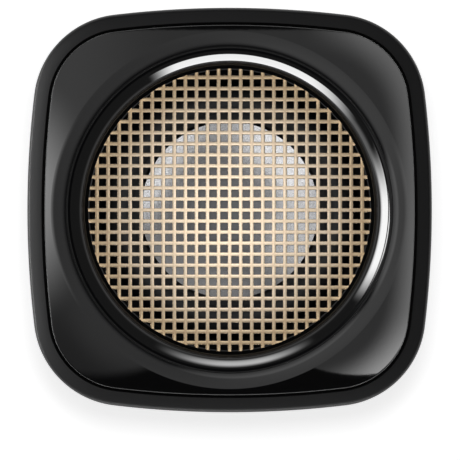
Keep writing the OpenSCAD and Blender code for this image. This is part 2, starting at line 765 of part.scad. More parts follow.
module speaker_wires() {
  tab = flange_z - flange_t - terminal_l;
  wire_r = 0.6;
  color([0.6, 0.1, 0.08]) for (s = [-1, 1]) {
    start = concat(turned([terminal_r, s * terminal_pitch / 2], terminal_turn), tab);
    end = [header_at[0], header_at[1] + s * 1.1, board_top + 1.4];
    lead(bend(start, start - [0, 0, 5], end + [0, 0, 8], end), wire_r);
  }
}

module ethernet_jack() {
  mouth = [11.8, 14, 8.2];
  color([0.7, 0.7, 0.72]) difference() {
    box([jack_x - jack_w / 2, jack_y - jack_l, board_top], [jack_x + jack_w / 2, jack_y, board_top + jack_h]);
    translate([jack_x - mouth[0] / 2, jack_y - mouth[1], board_top + 3.4])
      cube(mouth + [0, cut, 0]);
    translate([jack_x - 3.1, jack_y - 6, board_top + 2]) cube([6.2, 6 + cut, 3]);
    translate([jack_x - 2, jack_y - 6, board_top + 1.1]) cube([4, 6 + cut, 3]);
  }
}

module usb_socket() {
  color([0.75, 0.75, 0.78]) translate([usb_x, 0, usb_z]) difference() {
    union() {
      slot_y(usb_w, usb_h, usb_y - usb_l, usb_y);
      for (s = [-1, 1]) box([s * 4.1 - 0.4, usb_y - 5.5, -usb_h / 2 - 0.1], [s * 4.1 + 0.4, usb_y - 4, 0]);
    }
    difference() {
      slot_y(usb_w - 0.6, usb_h - 0.6, usb_y - 6.4, usb_y + cut);
      box([-3.35, usb_y - 7, -0.35], [3.35, usb_y - 0.8, 0.35]);
    }
  }
}

// ---- Controls ----

button_flange_y = control_in_y;
button_face_y = rear_y(button_x, control_z) + 0.4;
switch_y = button_flange_y - 1.2 - button_travel - 0.4;   // face of the reset switch

module reset_button() {
  color([0.12, 0.12, 0.13]) translate([button_x, 0, control_z]) {
    along_y(button_r, button_flange_y - 0.6, button_face_y);
    along_y(button_r + 0.9, button_flange_y - 1.2, button_flange_y);
  }
}

module reset_plunger() {
  color([0.85, 0.8, 0.7]) translate([button_x, 0, control_z])
    along_y(0.9, switch_y - 1.4, button_flange_y - 1.2);
}

module reset_switch() {
  color([0.2, 0.2, 0.21]) difference() {
    box([button_x - 3, switch_y - 3.5, board_top], [button_x + 3, switch_y, board_top + 6]);
    translate([button_x, 0, control_z]) along_y(1, switch_y - 1.4 - button_travel - 0.3, switch_y + cut);
  }
}

knob_y = rear_y(slider_x, control_z) + 0.3;
slider_x0 = slider_x - slider_travel / 2;      // the knob's middle at rest

module mute_slider() {
  color([0.75, 0.3, 0.08]) translate([slider_x0, 0, control_z]) {
    difference() {
      box([-knob_w / 2, control_in_y - 0.6, -knob_h / 2], [knob_w / 2, knob_y, knob_h / 2]);
      for (i = [-1:1]) box([i * 1 - 0.2, knob_y - 0.4, -knob_h], [i * 1 + 0.2, knob_y + cut, knob_h]);
    }
    box([-knob_w / 2 - 1.4, control_in_y - 1.2, -knob_h / 2 - 0.9],
      [knob_w / 2 + 1.4, control_in_y - 0.2, knob_h / 2 + 0.9]);
    box([-0.8, control_in_y - 4.4, -0.8], [0.8, control_in_y - 1.2, 0.8]);
  }
}

module mute_switch() {
  face = control_in_y - 1.5;
  color([0.2, 0.2, 0.21]) difference() {
    box([slider_x - 4.6, face - 4, board_top], [slider_x + 4.6, face, board_top + 6]);
    box([slider_x - slider_travel / 2 - 0.8 - gap, face - 3.2, control_z - 0.8 - gap],
      [slider_x + slider_travel / 2 + 0.8 + gap, face + cut, control_z + 0.8 + gap]);
  }
}

mic_face = side_r + bezel_edge - skirt_t;   // radius of the skirt's inner face about the bow's centre

module at_mics() {
  for (a = [0, 180], s = [-1, 1]) rotate(a)
    translate([sqrt(pow(mic_face, 2) - pow(mic_at + 3, 2)) - bow_c, s * mic_at, mic_z]) children();
}

seal_t = 1;

module mic_seals() {
  color([0.1, 0.1, 0.1]) at_mics() difference() {
    translate([-seal_t - fit, 0, 0]) rotate([0, 90, 0]) cylinder(r = 1.9, h = seal_t, $fn = 36);
    translate([-seal_t - fit - cut, 0, 0]) rotate([0, 90, 0]) cylinder(r = 0.7, h = seal_t + 2 * cut, $fn = 24);
  }
}

module mic_boards() {
  x = -seal_t - fit;
  color([0.05, 0.2, 0.3]) at_mics() {
    box([x - 0.8, -3, -1.7], [x, 3, 2.6]);
    box([x - 1.8, -1.75, -1.3], [x - 0.8, 1.75, 1.3]);
  }
}

housing();
base_cover();
rubber_feet();
case_screws();
front_bezel();
seam_gasket();
trim_ring();
speaker_grille();
driver_basket();
driver_gasket();
driver_screws();
driver_terminals();
surround();
cone();
dust_cap();
voice_coil_former();
voice_coil();
spider();
yoke_cup();
magnet();
pole_plate();
main_board();
board_screws();
shield_can();
board_components();
antennas();
speaker_header();
speaker_wires();
ethernet_jack();
usb_socket();
reset_button();
reset_plunger();
reset_switch();
mute_slider();
mute_switch();
mic_boards();
mic_seals();
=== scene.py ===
import json
from math import atan2, ceil, cos, hypot, pi, radians, sin, sqrt, tan

import bmesh
import bpy
from mathutils import Matrix, Vector


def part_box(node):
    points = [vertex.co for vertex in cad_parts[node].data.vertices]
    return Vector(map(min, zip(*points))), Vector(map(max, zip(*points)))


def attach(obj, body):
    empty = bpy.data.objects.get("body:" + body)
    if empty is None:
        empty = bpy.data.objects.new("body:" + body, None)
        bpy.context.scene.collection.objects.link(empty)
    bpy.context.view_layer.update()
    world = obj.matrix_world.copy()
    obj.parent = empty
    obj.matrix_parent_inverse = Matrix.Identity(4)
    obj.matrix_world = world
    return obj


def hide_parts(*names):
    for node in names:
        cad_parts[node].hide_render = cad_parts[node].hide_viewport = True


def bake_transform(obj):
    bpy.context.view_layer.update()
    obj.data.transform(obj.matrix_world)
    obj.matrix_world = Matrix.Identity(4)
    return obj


# Smart home hub: a squircle puck on four feet, face up, with a loudspeaker behind a domed grille.
# Metres, +Z up, ports at the rear, +Y. Sizes in the dictionaries are millimetres times mm.

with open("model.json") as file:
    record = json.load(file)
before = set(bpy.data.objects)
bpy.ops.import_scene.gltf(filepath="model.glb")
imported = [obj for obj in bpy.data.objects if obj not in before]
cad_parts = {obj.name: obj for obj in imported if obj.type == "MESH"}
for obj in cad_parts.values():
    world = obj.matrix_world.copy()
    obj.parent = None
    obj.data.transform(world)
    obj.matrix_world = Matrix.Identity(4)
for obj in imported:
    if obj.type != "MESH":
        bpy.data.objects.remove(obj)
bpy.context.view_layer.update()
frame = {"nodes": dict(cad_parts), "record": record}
mm = 0.001
faceDrop = 1 * mm   # from the CAD bezel's highest edge down to the flat face made here

# heights that the CAD nodes fix
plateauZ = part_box("front_bezel")[1].z - faceDrop
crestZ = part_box("trim_ring")[1].z
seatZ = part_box("trim_ring")[0].z
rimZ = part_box("housing")[1].z
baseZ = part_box("housing")[0].z


# general helpers

def makeObject(name, bm, materials, sharpAngle=35):
    mesh = bpy.data.meshes.new(name)
    for face in bm.faces:
        face.smooth = True
    bm.to_mesh(mesh)
    bm.free()
    for material in materials:
        mesh.materials.append(material)
    mesh.set_sharp_from_angle(angle=radians(sharpAngle))
    piece = bpy.data.objects.new(name, mesh)
    bpy.context.scene.collection.objects.link(piece)
    return piece


def settle(piece, body, slot, *replaced):
    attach(piece, body)
    if replaced:
        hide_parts(*replaced)
    return piece


def arcPoints(centre, radius, start, end, steps):
    points = []
    for i in range(steps + 1):
        a = radians(start + (end - start) * i / steps)
        points.append((centre[0] + radius * cos(a), centre[1] + radius * sin(a)))
    return points


def spinSection(bm, points, steps):
    # turns a closed section of (radius, z) points round the axis
    verts = [bm.verts.new((r, 0, z)) for r, z in points]
    edges = [bm.edges.new(pair) for pair in zip(verts, verts[1:] + verts[:1])]
    bmesh.ops.spin(bm, geom=verts + edges, cent=(0, 0, 0), axis=(0, 0, 1), dvec=(0, 0, 0),
                   angle=2 * pi, steps=steps, use_merge=True, use_duplicate=False)
    bmesh.ops.remove_doubles(bm, verts=bm.verts, dist=1e-7)
    bmesh.ops.recalc_face_normals(bm, faces=bm.faces)


# the outline: bowed sides and round corners, tangent to each other

outline = {
    "width": 110 * mm,
    "cornerRadius": 24.7 * mm,
    "sideRadius": 264 * mm,
    "steps": 480,
}
bowCentre = outline["sideRadius"] - outline["width"] / 2
centreGap = outline["sideRadius"] - outline["cornerRadius"]
cornerCentre = (sqrt(2 * centreGap ** 2 - bowCentre ** 2) - bowCentre) / 2
sideTurn = atan2(cornerCentre, cornerCentre + bowCentre)


def outlineRadius(angle, offset):
    # from the middle to the outline moved out by offset, in the direction angle
    folded = abs((angle + pi / 4) % (pi / 2) - pi / 4)
    reach = outline["sideRadius"] + offset
    if folded <= atan2(reach * sin(sideTurn), reach * cos(sideTurn) - bowCentre):
        return sqrt(reach ** 2 - (bowCentre * sin(folded)) ** 2) - bowCentre * cos(folded)
    along = cornerCentre * (cos(folded) + sin(folded))
    across = cornerCentre * (cos(folded) - sin(folded))
    return along + sqrt((outline["cornerRadius"] + offset) ** 2 - across ** 2)


def warpToOutline(bm, roundTo=0.0, squareFrom=0.0):
    # a spun shape takes the casing's outline; what lies inside roundTo stays round
    half = outline["width"] / 2
    for v in bm.verts:
        r = hypot(v.co.x, v.co.y)
        if r <= roundTo or r == 0:
            continue
        share = 1.0 if r >= squareFrom else (r - roundTo) / (squareFrom - roundTo)
        wanted = outlineRadius(atan2(v.co.y, v.co.x), r - half)
        grow = (r + (wanted - r) * share) / r
        v.co.x *= grow
        v.co.y *= grow


# node groups: each puts out a height or a mask

def newGroup(name, inputs, outputs):
    group = bpy.data.node_groups.new(name, "ShaderNodeTree")
    for label, value in inputs.items():
        socket = group.interface.new_socket(name=label, in_out="INPUT", socket_type="NodeSocketFloat")
        socket.default_value = value
    for label in outputs:
        group.interface.new_socket(name=label, in_out="OUTPUT", socket_type="NodeSocketFloat")
    start = group.nodes.new("NodeGroupInput")
    end = group.nodes.new("NodeGroupOutput")
    return group, start, end


def mathNode(tree, operation, first, second=None, third=None, clamp=False):
    node = tree.nodes.new("ShaderNodeMath")
    node.operation = operation
    node.use_clamp = clamp
    for socket, value in zip(node.inputs, (first, second, third)):
        if value is None:
            continue
        if isinstance(value, (int, float)):
            socket.default_value = value
        else:
            tree.links.new(value, socket)
    return node.outputs[0]


def times(tree, *values):
    result = values[0]
    for value in values[1:]:
        result = mathNode(tree, "MULTIPLY", result, value)
    return result


def lengthOf(tree, x, y):
    return mathNode(tree, "SQRT", mathNode(tree, "MULTIPLY_ADD", x, x, times(tree, y, y)))


def splitVector(tree, vector):
    split = tree.nodes.new("ShaderNodeSeparateXYZ")
    tree.links.new(vector, split.inputs[0])
    return split.outputs


def objectPlace(tree):
    return tree.nodes.new("ShaderNodeTexCoord").outputs["Object"]


def smoothMask(tree, value, start, end):
    # rises smoothly from 0 at start to 1 at end
    node = tree.nodes.new("ShaderNodeMapRange")
    node.interpolation_type = "SMOOTHSTEP"
    tree.links.new(value, node.inputs["Value"])
    node.inputs["From Min"].default_value = start
    node.inputs["From Max"].default_value = end
    return node.outputs["Result"]


def noiseNode(tree, vector, scale, detail=3.0, rough=0.5):
    node = tree.nodes.new("ShaderNodeTexNoise")
    tree.links.new(vector, node.inputs["Vector"])
    if isinstance(scale, (int, float)):
        node.inputs["Scale"].default_value = scale
    else:
        tree.links.new(scale, node.inputs["Scale"])
    node.inputs["Detail"].default_value = detail
    node.inputs["Roughness"].default_value = rough
    return node.outputs["Fac"]


def makeGrainGroup():
    # moulded or cast grain: fine pits over a soft swell
    group, start, end = newGroup("mouldedGrain", {"Scale": 4000.0, "Swell": 0.3}, ["Height", "Shade"])
    place = objectPlace(group)
    pits = noiseNode(group, place, start.outputs["Scale"], 4.0, 0.6)
    broad = noiseNode(group, place, 60.0, 2.0)
    height = mathNode(group, "MULTIPLY_ADD", broad, start.outputs["Swell"], pits)
    group.links.new(height, end.inputs["Height"])
    group.links.new(pits, end.inputs["Shade"])
    return group


def makeSmudgeGroup():
    # the faint uneven sheen that handling and dust leave
    group, start, end = newGroup("handledSheen", {"Scale": 45.0, "Amount": 0.1}, ["Shift"])
    place = objectPlace(group)
    cloud = noiseNode(group, place, start.outputs["Scale"], 5.0, 0.62)
    centred = mathNode(group, "SUBTRACT", cloud, 0.5)
    group.links.new(mathNode(group, "MULTIPLY", centred, start.outputs["Amount"]), end.inputs["Shift"])
    return group


def makeTurnedGroup():
    # rings left by turning or spinning about the Z axis
    group, start, end = newGroup("turnedRings", {"Scale": 3000.0, "Jitter": 0.4}, ["Height"])
    place = objectPlace(group)
    x, y, z = splitVector(group, place)
    line = group.nodes.new("ShaderNodeCombineXYZ")
    group.links.new(times(group, lengthOf(group, x, y), start.outputs["Scale"]), line.inputs["X"])
    rings = noiseNode(group, line.outputs[0], 1.0, 2.0)
    speck = noiseNode(group, place, 2500.0, 2.0)
    mixed = mathNode(group, "MULTIPLY_ADD", speck, start.outputs["Jitter"], rings)
    group.links.new(mixed, end.inputs["Height"])
    return group


grainGroup = makeGrainGroup()
smudgeGroup = makeSmudgeGroup()
turnedGroup = makeTurnedGroup()
print("node groups made")


# materials

def startMaterial(name, roughness, metallic=0.0, specular=0.5):
    material = bpy.data.materials.new(name)
    material.use_nodes = True
    tree = material.node_tree
    shader = tree.nodes["Principled BSDF"]
    shader.inputs["Roughness"].default_value = roughness
    shader.inputs["Metallic"].default_value = metallic
    shader.inputs["Specular IOR Level"].default_value = specular
    return material, tree, shader


def groupNode(tree, group, **values):
    node = tree.nodes.new("ShaderNodeGroup")
    node.node_tree = group
    for label, value in values.items():
        node.inputs[label].default_value = value
    return node


def tint(tree, factor, dark, light, low=0.35, high=0.65):
    ramp = tree.nodes.new("ShaderNodeValToRGB")
    ramp.color_ramp.elements[0].position = low
    ramp.color_ramp.elements[0].color = (*dark, 1)
    ramp.color_ramp.elements[1].position = high
    ramp.color_ramp.elements[1].color = (*light, 1)
    tree.links.new(factor, ramp.inputs["Fac"])
    return ramp.outputs["Color"]


def mixColour(tree, factor, colour, other, blend):
    mix = tree.nodes.new("ShaderNodeMix")
    mix.data_type = "RGBA"
    mix.blend_type = blend
    tree.links.new(factor, mix.inputs["Factor"])
    tree.links.new(colour, mix.inputs["A"])
    mix.inputs["B"].default_value = (*other, 1)
    return mix.outputs["Result"]


def addRoughness(tree, shader, smudge, roughness):
    rough = mathNode(tree, "ADD", smudge.outputs["Shift"], roughness, clamp=True)
    tree.links.new(rough, shader.inputs["Roughness"])


def addBump(tree, shader, height, strength, distance):
    bump = tree.nodes.new("ShaderNodeBump")
    bump.inputs["Strength"].default_value = strength
    bump.inputs["Distance"].default_value = distance
    tree.links.new(height, bump.inputs["Height"])
    tree.links.new(bump.outputs["Normal"], shader.inputs["Normal"])


def plasticMaterial(name, dark, light, roughness, spread, grainScale, bump, specular=0.5):
    # moulded plastic or rubber: grain, slight tone change and handled sheen
    material, tree, shader = startMaterial(name, roughness, specular=specular)
    grain = groupNode(tree, grainGroup, Scale=grainScale)
    smudge = groupNode(tree, smudgeGroup, Amount=spread)
    tree.links.new(tint(tree, grain.outputs["Shade"], dark, light), shader.inputs["Base Color"])
    addRoughness(tree, shader, smudge, roughness)
    addBump(tree, shader, grain.outputs["Height"], bump, 0.00004)
    return material


def metalMaterial(name, dark, light, roughness):
    # plated or rolled metal with a fine matt grain
    material, tree, shader = startMaterial(name, roughness, metallic=1.0)
    grain = groupNode(tree, grainGroup, Scale=2500.0, Swell=0.1)
    smudge = groupNode(tree, smudgeGroup, Scale=120.0, Amount=0.1)
    tree.links.new(tint(tree, grain.outputs["Shade"], dark, light), shader.inputs["Base Color"])
    addRoughness(tree, shader, smudge, roughness)
    addBump(tree, shader, grain.outputs["Height"], 0.15, 0.00002)
    return material


def turnedMaterial(name, dark, light, roughness, metallic, scale, bump, jitter=0.4, spread=0.08):
    # metal or film that was turned, spun or wound about the axis
    material, tree, shader = startMaterial(name, roughness, metallic=metallic)
    rings = groupNode(tree, turnedGroup, Scale=scale, Jitter=jitter)
    smudge = groupNode(tree, smudgeGroup, Amount=spread)
    tree.links.new(tint(tree, rings.outputs["Height"], dark, light, 0.4, 1.0), shader.inputs["Base Color"])
    addRoughness(tree, shader, smudge, roughness)
    addBump(tree, shader, rings.outputs["Height"], bump, 0.00003)
    return material


def glossBlack(name, roughness, spread, specular=0.5):
    return plasticMaterial(name, (0.0012, 0.0012, 0.0014), (0.0018, 0.0018, 0.002), roughness,
                           spread=spread, grainScale=900.0, bump=0.003, specular=specular)


def paintReflectionInside(material, tone, start, end):
    # a painted reflection: a lighter tone, for the lit lattice mirrored in the ring, that comes in from the
    # radius start to the radius end
    tree = material.node_tree
    base = tree.nodes["Principled BSDF"].inputs["Base Color"]
    x, y, z = splitVector(tree, objectPlace(tree))
    mask = smoothMask(tree, lengthOf(tree, x, y), start, end)
    tree.links.new(mixColour(tree, mask, base.links[0].from_socket, tone, "MIX"), base)


casingBlack = plasticMaterial("casingBlack", (0.005, 0.005, 0.0055), (0.008, 0.008, 0.0085), 0.38,
                              spread=0.06, grainScale=5200.0, bump=0.25)
footRubber = plasticMaterial("footRubber", (0.012, 0.012, 0.012), (0.03, 0.03, 0.03), 0.8,
                             spread=0.1, grainScale=3000.0, bump=0.5, specular=0.3)
bezelGloss = glossBlack("bezelGloss", 0.009, spread=0.003)
ringGloss = glossBlack("ringGloss", 0.03, spread=0.01)
ringFoot = glossBlack("ringFoot", 0.03, spread=0.01, specular=0.16)
ringRoll = glossBlack("ringRoll", 0.03, spread=0.01)
# painted reflection of the lit lattice on the ring's inner edge
paintReflectionInside(ringRoll, (0.15, 0.13, 0.105), 39.9 * mm, 39.2 * mm)   # next to the lattice
# painted shade: matt black for the shadowed gaps at the ring's lip and foot and the surround's outer lip
paintedShadeBlack = plasticMaterial("paintedShadeBlack", (0.002, 0.002, 0.002), (0.004, 0.004, 0.004), 0.6,
                           spread=0.06, grainScale=4000.0, bump=0.2, specular=0.2)
grilleShade = plasticMaterial("grilleShade", (0.006, 0.005, 0.005), (0.012, 0.010, 0.009), 0.7,
                              spread=0.1, grainScale=3500.0, bump=0.3, specular=0.2)
gasketRubber = plasticMaterial("gasketRubber", (0.010, 0.010, 0.010), (0.02, 0.02, 0.02), 0.75,
                               spread=0.1, grainScale=3500.0, bump=0.4, specular=0.3)
basketBlack = plasticMaterial("basketBlack", (0.010, 0.010, 0.011), (0.02, 0.02, 0.021), 0.45,
                              spread=0.1, grainScale=3000.0, bump=0.3)
surroundRubber = plasticMaterial("surroundRubber", (0.015, 0.015, 0.016), (0.022, 0.022, 0.023), 0.58,
                                 spread=0.08, grainScale=2500.0, bump=0.15, specular=0.35)
coneBlack = turnedMaterial("coneBlack", (0.006, 0.006, 0.007), (0.012, 0.012, 0.013), 0.42,
                           metallic=0.0, scale=2200.0, bump=0.3)
capSilver = turnedMaterial("capSilver", (0.70, 0.70, 0.71), (0.79, 0.79, 0.80), 0.22,
                           metallic=1.0, scale=1500.0, bump=0.004, jitter=0.03, spread=0.008)
formerFilm = turnedMaterial("formerFilm", (0.4, 0.2, 0.06), (0.6, 0.34, 0.1), 0.4,
                            metallic=0.0, scale=800.0, bump=0.1)
coilCopper = turnedMaterial("coilCopper", (0.45, 0.16, 0.06), (0.75, 0.36, 0.18), 0.35,
                            metallic=1.0, scale=5000.0, bump=0.5)
spiderCloth = plasticMaterial("spiderCloth", (0.4, 0.25, 0.09), (0.6, 0.42, 0.18), 0.8,
                              spread=0.1, grainScale=2500.0, bump=0.8, specular=0.3)
boardGreen = plasticMaterial("boardGreen", (0.004, 0.05, 0.02), (0.01, 0.1, 0.04), 0.3,
                             spread=0.1, grainScale=1200.0, bump=0.1)
componentBlack = plasticMaterial("componentBlack", (0.015, 0.015, 0.016), (0.04, 0.04, 0.042), 0.55,
                                 spread=0.1, grainScale=4000.0, bump=0.4)
headerIvory = plasticMaterial("headerIvory", (0.7, 0.66, 0.55), (0.8, 0.77, 0.67), 0.4,
                              spread=0.1, grainScale=2500.0, bump=0.1)
wireRed = plasticMaterial("wireRed", (0.35, 0.02, 0.015), (0.5, 0.04, 0.03), 0.35,
                          spread=0.1, grainScale=2500.0, bump=0.1)
buttonBlack = plasticMaterial("buttonBlack", (0.018, 0.018, 0.019), (0.03, 0.03, 0.031), 0.4,
                              spread=0.1, grainScale=4500.0, bump=0.25)
plungerIvory = plasticMaterial("plungerIvory", (0.62, 0.57, 0.45), (0.75, 0.7, 0.58), 0.45,
                               spread=0.1, grainScale=2500.0, bump=0.15)
sliderOrange = plasticMaterial("sliderOrange", (0.55, 0.11, 0.01), (0.68, 0.16, 0.02), 0.42,
                               spread=0.1, grainScale=4500.0, bump=0.2)
micBlue = plasticMaterial("micBlue", (0.006, 0.025, 0.09), (0.015, 0.05, 0.16), 0.3,
                          spread=0.1, grainScale=1200.0, bump=0.1)
screwSteel = metalMaterial("screwSteel", (0.42, 0.42, 0.43), (0.6, 0.6, 0.6), 0.32)
terminalBrass = metalMaterial("terminalBrass", (0.5, 0.35, 0.12), (0.75, 0.55, 0.24), 0.3)
magnetSteel = metalMaterial("magnetSteel", (0.3, 0.3, 0.31), (0.5, 0.5, 0.51), 0.38)
canTin = metalMaterial("canTin", (0.55, 0.55, 0.55), (0.72, 0.72, 0.71), 0.3)
jackSteel = metalMaterial("jackSteel", (0.5, 0.5, 0.5), (0.68, 0.68, 0.67), 0.28)
socketSteel = metalMaterial("socketSteel", (0.52, 0.52, 0.53), (0.7, 0.7, 0.7), 0.24)


grille = {
    "pitch": 3 * mm,
    "hole": 1.95 * mm,
    "corner": 0.07 * mm,
    "sheet": 0.8 * mm,
    "rise": 1.6 * mm,
    "opening": 39 * mm,
    "rim": 41.6 * mm,
    "edgeSoft": 0.1 * mm,
    "softOut": 40.2 * mm,    # the holes' edges are softened as far out as this
    "wallLean": 0.07 * mm,   # how far two walls of each hole lean in toward the bottom
    "rimClear": 0.1 * mm,    # walls nearer the rim than this are the rim's own
    "crossingShade": (0.75 * mm, 0.35 * mm),   # where the painted shade at each place the bars cross starts and is full
    "rimShade": (26 * mm, 40 * mm),         # the same for the painted shade toward the rim, darker and warmer, where the ring shades the sheet
}


def makeGrilleMaterial():
    # champagne plated steel sheet: satin, with painted shade a touch deeper where the bars cross, and painted
    # shade darker and warmer toward the rim, where the ring shades the sheet
    material, tree, shader = startMaterial("grilleChampagne", 0.26, metallic=1.0)
    shader.inputs["Coat Weight"].default_value = 1.0
    shader.inputs["Coat Roughness"].default_value = 0.2
    grain = groupNode(tree, grainGroup, Scale=3500.0, Swell=0.15)
    smudge = groupNode(tree, smudgeGroup, Scale=30.0, Amount=0.08)
    x, y, z = splitVector(tree, objectPlace(tree))
    apart = [mathNode(tree, "PINGPONG", along, grille["pitch"] / 2) for along in (x, y)]
    # painted shade where the bars cross, for the light that their rounded middles catch
    crossingShade = smoothMask(tree, mathNode(tree, "MAXIMUM", *apart), *grille["crossingShade"])
    # painted shade toward the rim, darker and warmer, for the ring's shade on the border bars
    rimShadeMask = smoothMask(tree, lengthOf(tree, x, y), *grille["rimShade"])
    bars = tint(tree, grain.outputs["Shade"], (0.80, 0.64, 0.46), (0.86, 0.70, 0.52))
    bars = mixColour(tree, crossingShade, bars, (0.97, 0.94, 0.90), "MULTIPLY")
    bars = mixColour(tree, rimShadeMask, bars, (0.91, 0.825, 0.67), "MULTIPLY")
    tree.links.new(bars, shader.inputs["Base Color"])
    addRoughness(tree, shader, smudge, 0.26)
    addBump(tree, shader, grain.outputs["Height"], 0.03, 0.00002)
    return material


grilleChampagne = makeGrilleMaterial()

finishes = {
    "casing_black": casingBlack, "foot_rubber": footRubber, "screw_steel": screwSteel,
    "bezel_gloss": bezelGloss, "gasket_rubber": gasketRubber, "ring_gloss": ringGloss,
    "grille_champagne": grilleChampagne, "basket_black": basketBlack, "terminal_brass": terminalBrass,
    "surround_rubber": surroundRubber, "cone_black": coneBlack, "cap_silver": capSilver,
    "former_film": formerFilm, "coil_copper": coilCopper, "spider_cloth": spiderCloth,
    "magnet_steel": magnetSteel, "board_green": boardGreen, "can_tin": canTin,
    "component_black": componentBlack, "header_ivory": headerIvory, "wire_red": wireRed,
    "jack_steel": jackSteel, "socket_steel": socketSteel, "button_black": buttonBlack,
    "plunger_ivory": plungerIvory, "slider_orange": sliderOrange, "mic_blue": micBlue,
}
for part in frame["record"]["subparts"]:
    cadObject = frame["nodes"][part["node"]]
    cadObject.data.materials.clear()
    cadObject.data.materials.append(finishes[part["material_slot"]])
print("materials given to", len(frame["nodes"]), "CAD nodes")


# casing shell

casing = {
    "footRoll": 7.5 * mm,
    "taper": 3 * mm,
    "wall": 2.2 * mm,
    "rimWidth": 4.05 * mm,
    "rimRoll": 1.4 * mm,
    "rimFall": 0.6 * mm,
    "rimEdge": 0.2 * mm,
    "groove": 0.75 * mm,
    "grooveDepth": 4.2 * mm,
    "flatUnder": 0.7 * mm,
    "ledge": 5 * mm,
    "ledgeThick": 1.8 * mm,
    "coverThick": 1.9 * mm,
    "shelf": 0.3 * mm,       # how far the casing goes under the groove's inner wall
    "shelfThick": 1 * mm,
    "shelfReach": 4 * mm,    # where its slope meets the wall, under the groove
    "slopeClear": 0.5 * mm,  # no point of the inner wall comes nearer the slope than this
}


def wallLean(z):
    low, high = baseZ + casing["footRoll"], rimZ - casing["rimFall"] - casing["rimRoll"]
    t = max(0.0, min(1.0, (high - z) / (high - low)))
    return -casing["taper"] * t * t


def casingSection():
    half = outline["width"] / 2
    roll, rimRoll = casing["footRoll"], casing["rimRoll"]
    rollCentre = (-(casing["taper"] + roll), baseZ + roll)
    rimCentre = (-rimRoll, rimZ - casing["rimFall"] - rimRoll)
    coverEdge = rollCentre[0] - casing["flatUnder"]
    ledgeZ = baseZ + casing["coverThick"]
    inner = roll - casing["wall"]
    points = [(coverEdge, baseZ)] + arcPoints(rollCentre, roll, -90, 0, 14)
    wallSteps = 14
    for i in range(1, wallSteps + 1):
        z = rollCentre[1] + (rimCentre[1] - rollCentre[1]) * i / wallSteps
        points.append((wallLean(z), z))
    points += [p for p in arcPoints(rimCentre, rimRoll, 0, 81, 12) if p[1] > rimCentre[1] + 1e-6]
    edge = casing["rimEdge"]
    points += arcPoints((-casing["rimWidth"] + edge, rimZ - edge), edge, 84, 180, 6)
    grooveZ = rimZ - casing["grooveDepth"]
    shelfOff = -(casing["rimWidth"] + casing["groove"]) + casing["shelf"]
    slopeZ = grooveZ - casing["shelfReach"]
    points += [(-casing["rimWidth"], grooveZ), (shelfOff, grooveZ)]
    points += [(shelfOff, grooveZ - casing["shelfThick"]), (wallLean(slopeZ) - casing["wall"], slopeZ)]
    for i in range(wallSteps - 2, 0, -2):
        z = rollCentre[1] + (rimCentre[1] - rollCentre[1]) * i / wallSteps
        if z < slopeZ - casing["slopeClear"]:
            points.append((wallLean(z) - casing["wall"], z))
    points += [p for p in arcPoints(rollCentre, inner, 0, -90, 8) if p[1] > ledgeZ + casing["ledgeThick"]]
    ledgeOff = coverEdge - casing["ledge"]
    points += [(ledgeOff, ledgeZ + casing["ledgeThick"]), (ledgeOff, ledgeZ), (coverEdge, ledgeZ)]
    return [(half + offset, z) for offset, z in points]


def cutWith(piece, cutter):
    cut = piece.modifiers.new("cut", "BOOLEAN")
    cut.operation = "DIFFERENCE"
    cut.solver = "EXACT"
    cut.object = cutter
    graph = bpy.context.evaluated_depsgraph_get()
    mesh = bpy.data.meshes.new_from_object(piece.evaluated_get(graph))
    piece.modifiers.clear()
    piece.data = mesh
    bpy.data.objects.remove(cutter)


def slotRod(bm, centre, width, height, yLow, yHigh, roundness, segments):
    # a rounded slot-shaped rod along Y
    made = bmesh.ops.create_cube(bm, size=1)["verts"]
    bmesh.ops.scale(bm, verts=made, vec=(width, yHigh - yLow, height))
    bmesh.ops.translate(bm, verts=made, vec=(centre[0], (yLow + yHigh) / 2, centre[1]))
    along = [e for e in bm.edges if abs(e.verts[0].co.y - e.verts[1].co.y) > (yHigh - yLow) / 2]
    bmesh.ops.bevel(bm, geom=along, offset=roundness, segments=segments, profile=0.5, affect="EDGES",
                    material=-1, clamp_overlap=True)


ports = {
    "inside": 40 * mm,       # every cut runs from here out past the wall
    "outside": 60 * mm,
    "jackGap": 0.3 * mm,
    "jackRound": 0.5 * mm,
    "usbWidth": 9.54 * mm,
    "usbHeight": 3.8 * mm,
    "usbRound": 1.89 * mm,
    "usbRise": 0.05 * mm,
    "plugWidth": 12.6 * mm,  # the recess that takes the plug's grip
    "plugHeight": 6.8 * mm,
    "plugRound": 3.39 * mm,
    "plugStop": 0.2 * mm,
    "buttonHole": 2.1 * mm,
    "buttonRound": 2.09 * mm,
    "slotWidth": 6.6 * mm,
    "slotHeight": 3 * mm,
    "slotMiddle": 24 * mm,
    "slotRound": 0.3 * mm,
}


def portCutters():
    # centre, width, height, where the cut starts, roundness and steps of each opening in the rear
    start, gap = ports["inside"], ports["jackGap"]
    low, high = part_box("ethernet_jack")
    jack = ((low.x + high.x) / 2, (low.z + high.z) / 2)
    yield jack, high.x - low.x + 2 * gap, high.z - low.z + 2 * gap, start, ports["jackRound"], 4
    low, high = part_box("usb_socket")
    usb = ((low.x + high.x) / 2, (low.z + high.z) / 2 + ports["usbRise"])
    yield usb, ports["usbWidth"], ports["usbHeight"], start, ports["usbRound"], 10
    yield usb, ports["plugWidth"], ports["plugHeight"], high.y - ports["plugStop"], ports["plugRound"], 12
    low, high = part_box("reset_button")
    control = (low.z + high.z) / 2
    hole = 2 * ports["buttonHole"]
    yield ((low.x + high.x) / 2, control), hole, hole, start, ports["buttonRound"], 12
    slot = (ports["slotMiddle"], control)
    yield slot, ports["slotWidth"], ports["slotHeight"], start, ports["slotRound"], 3


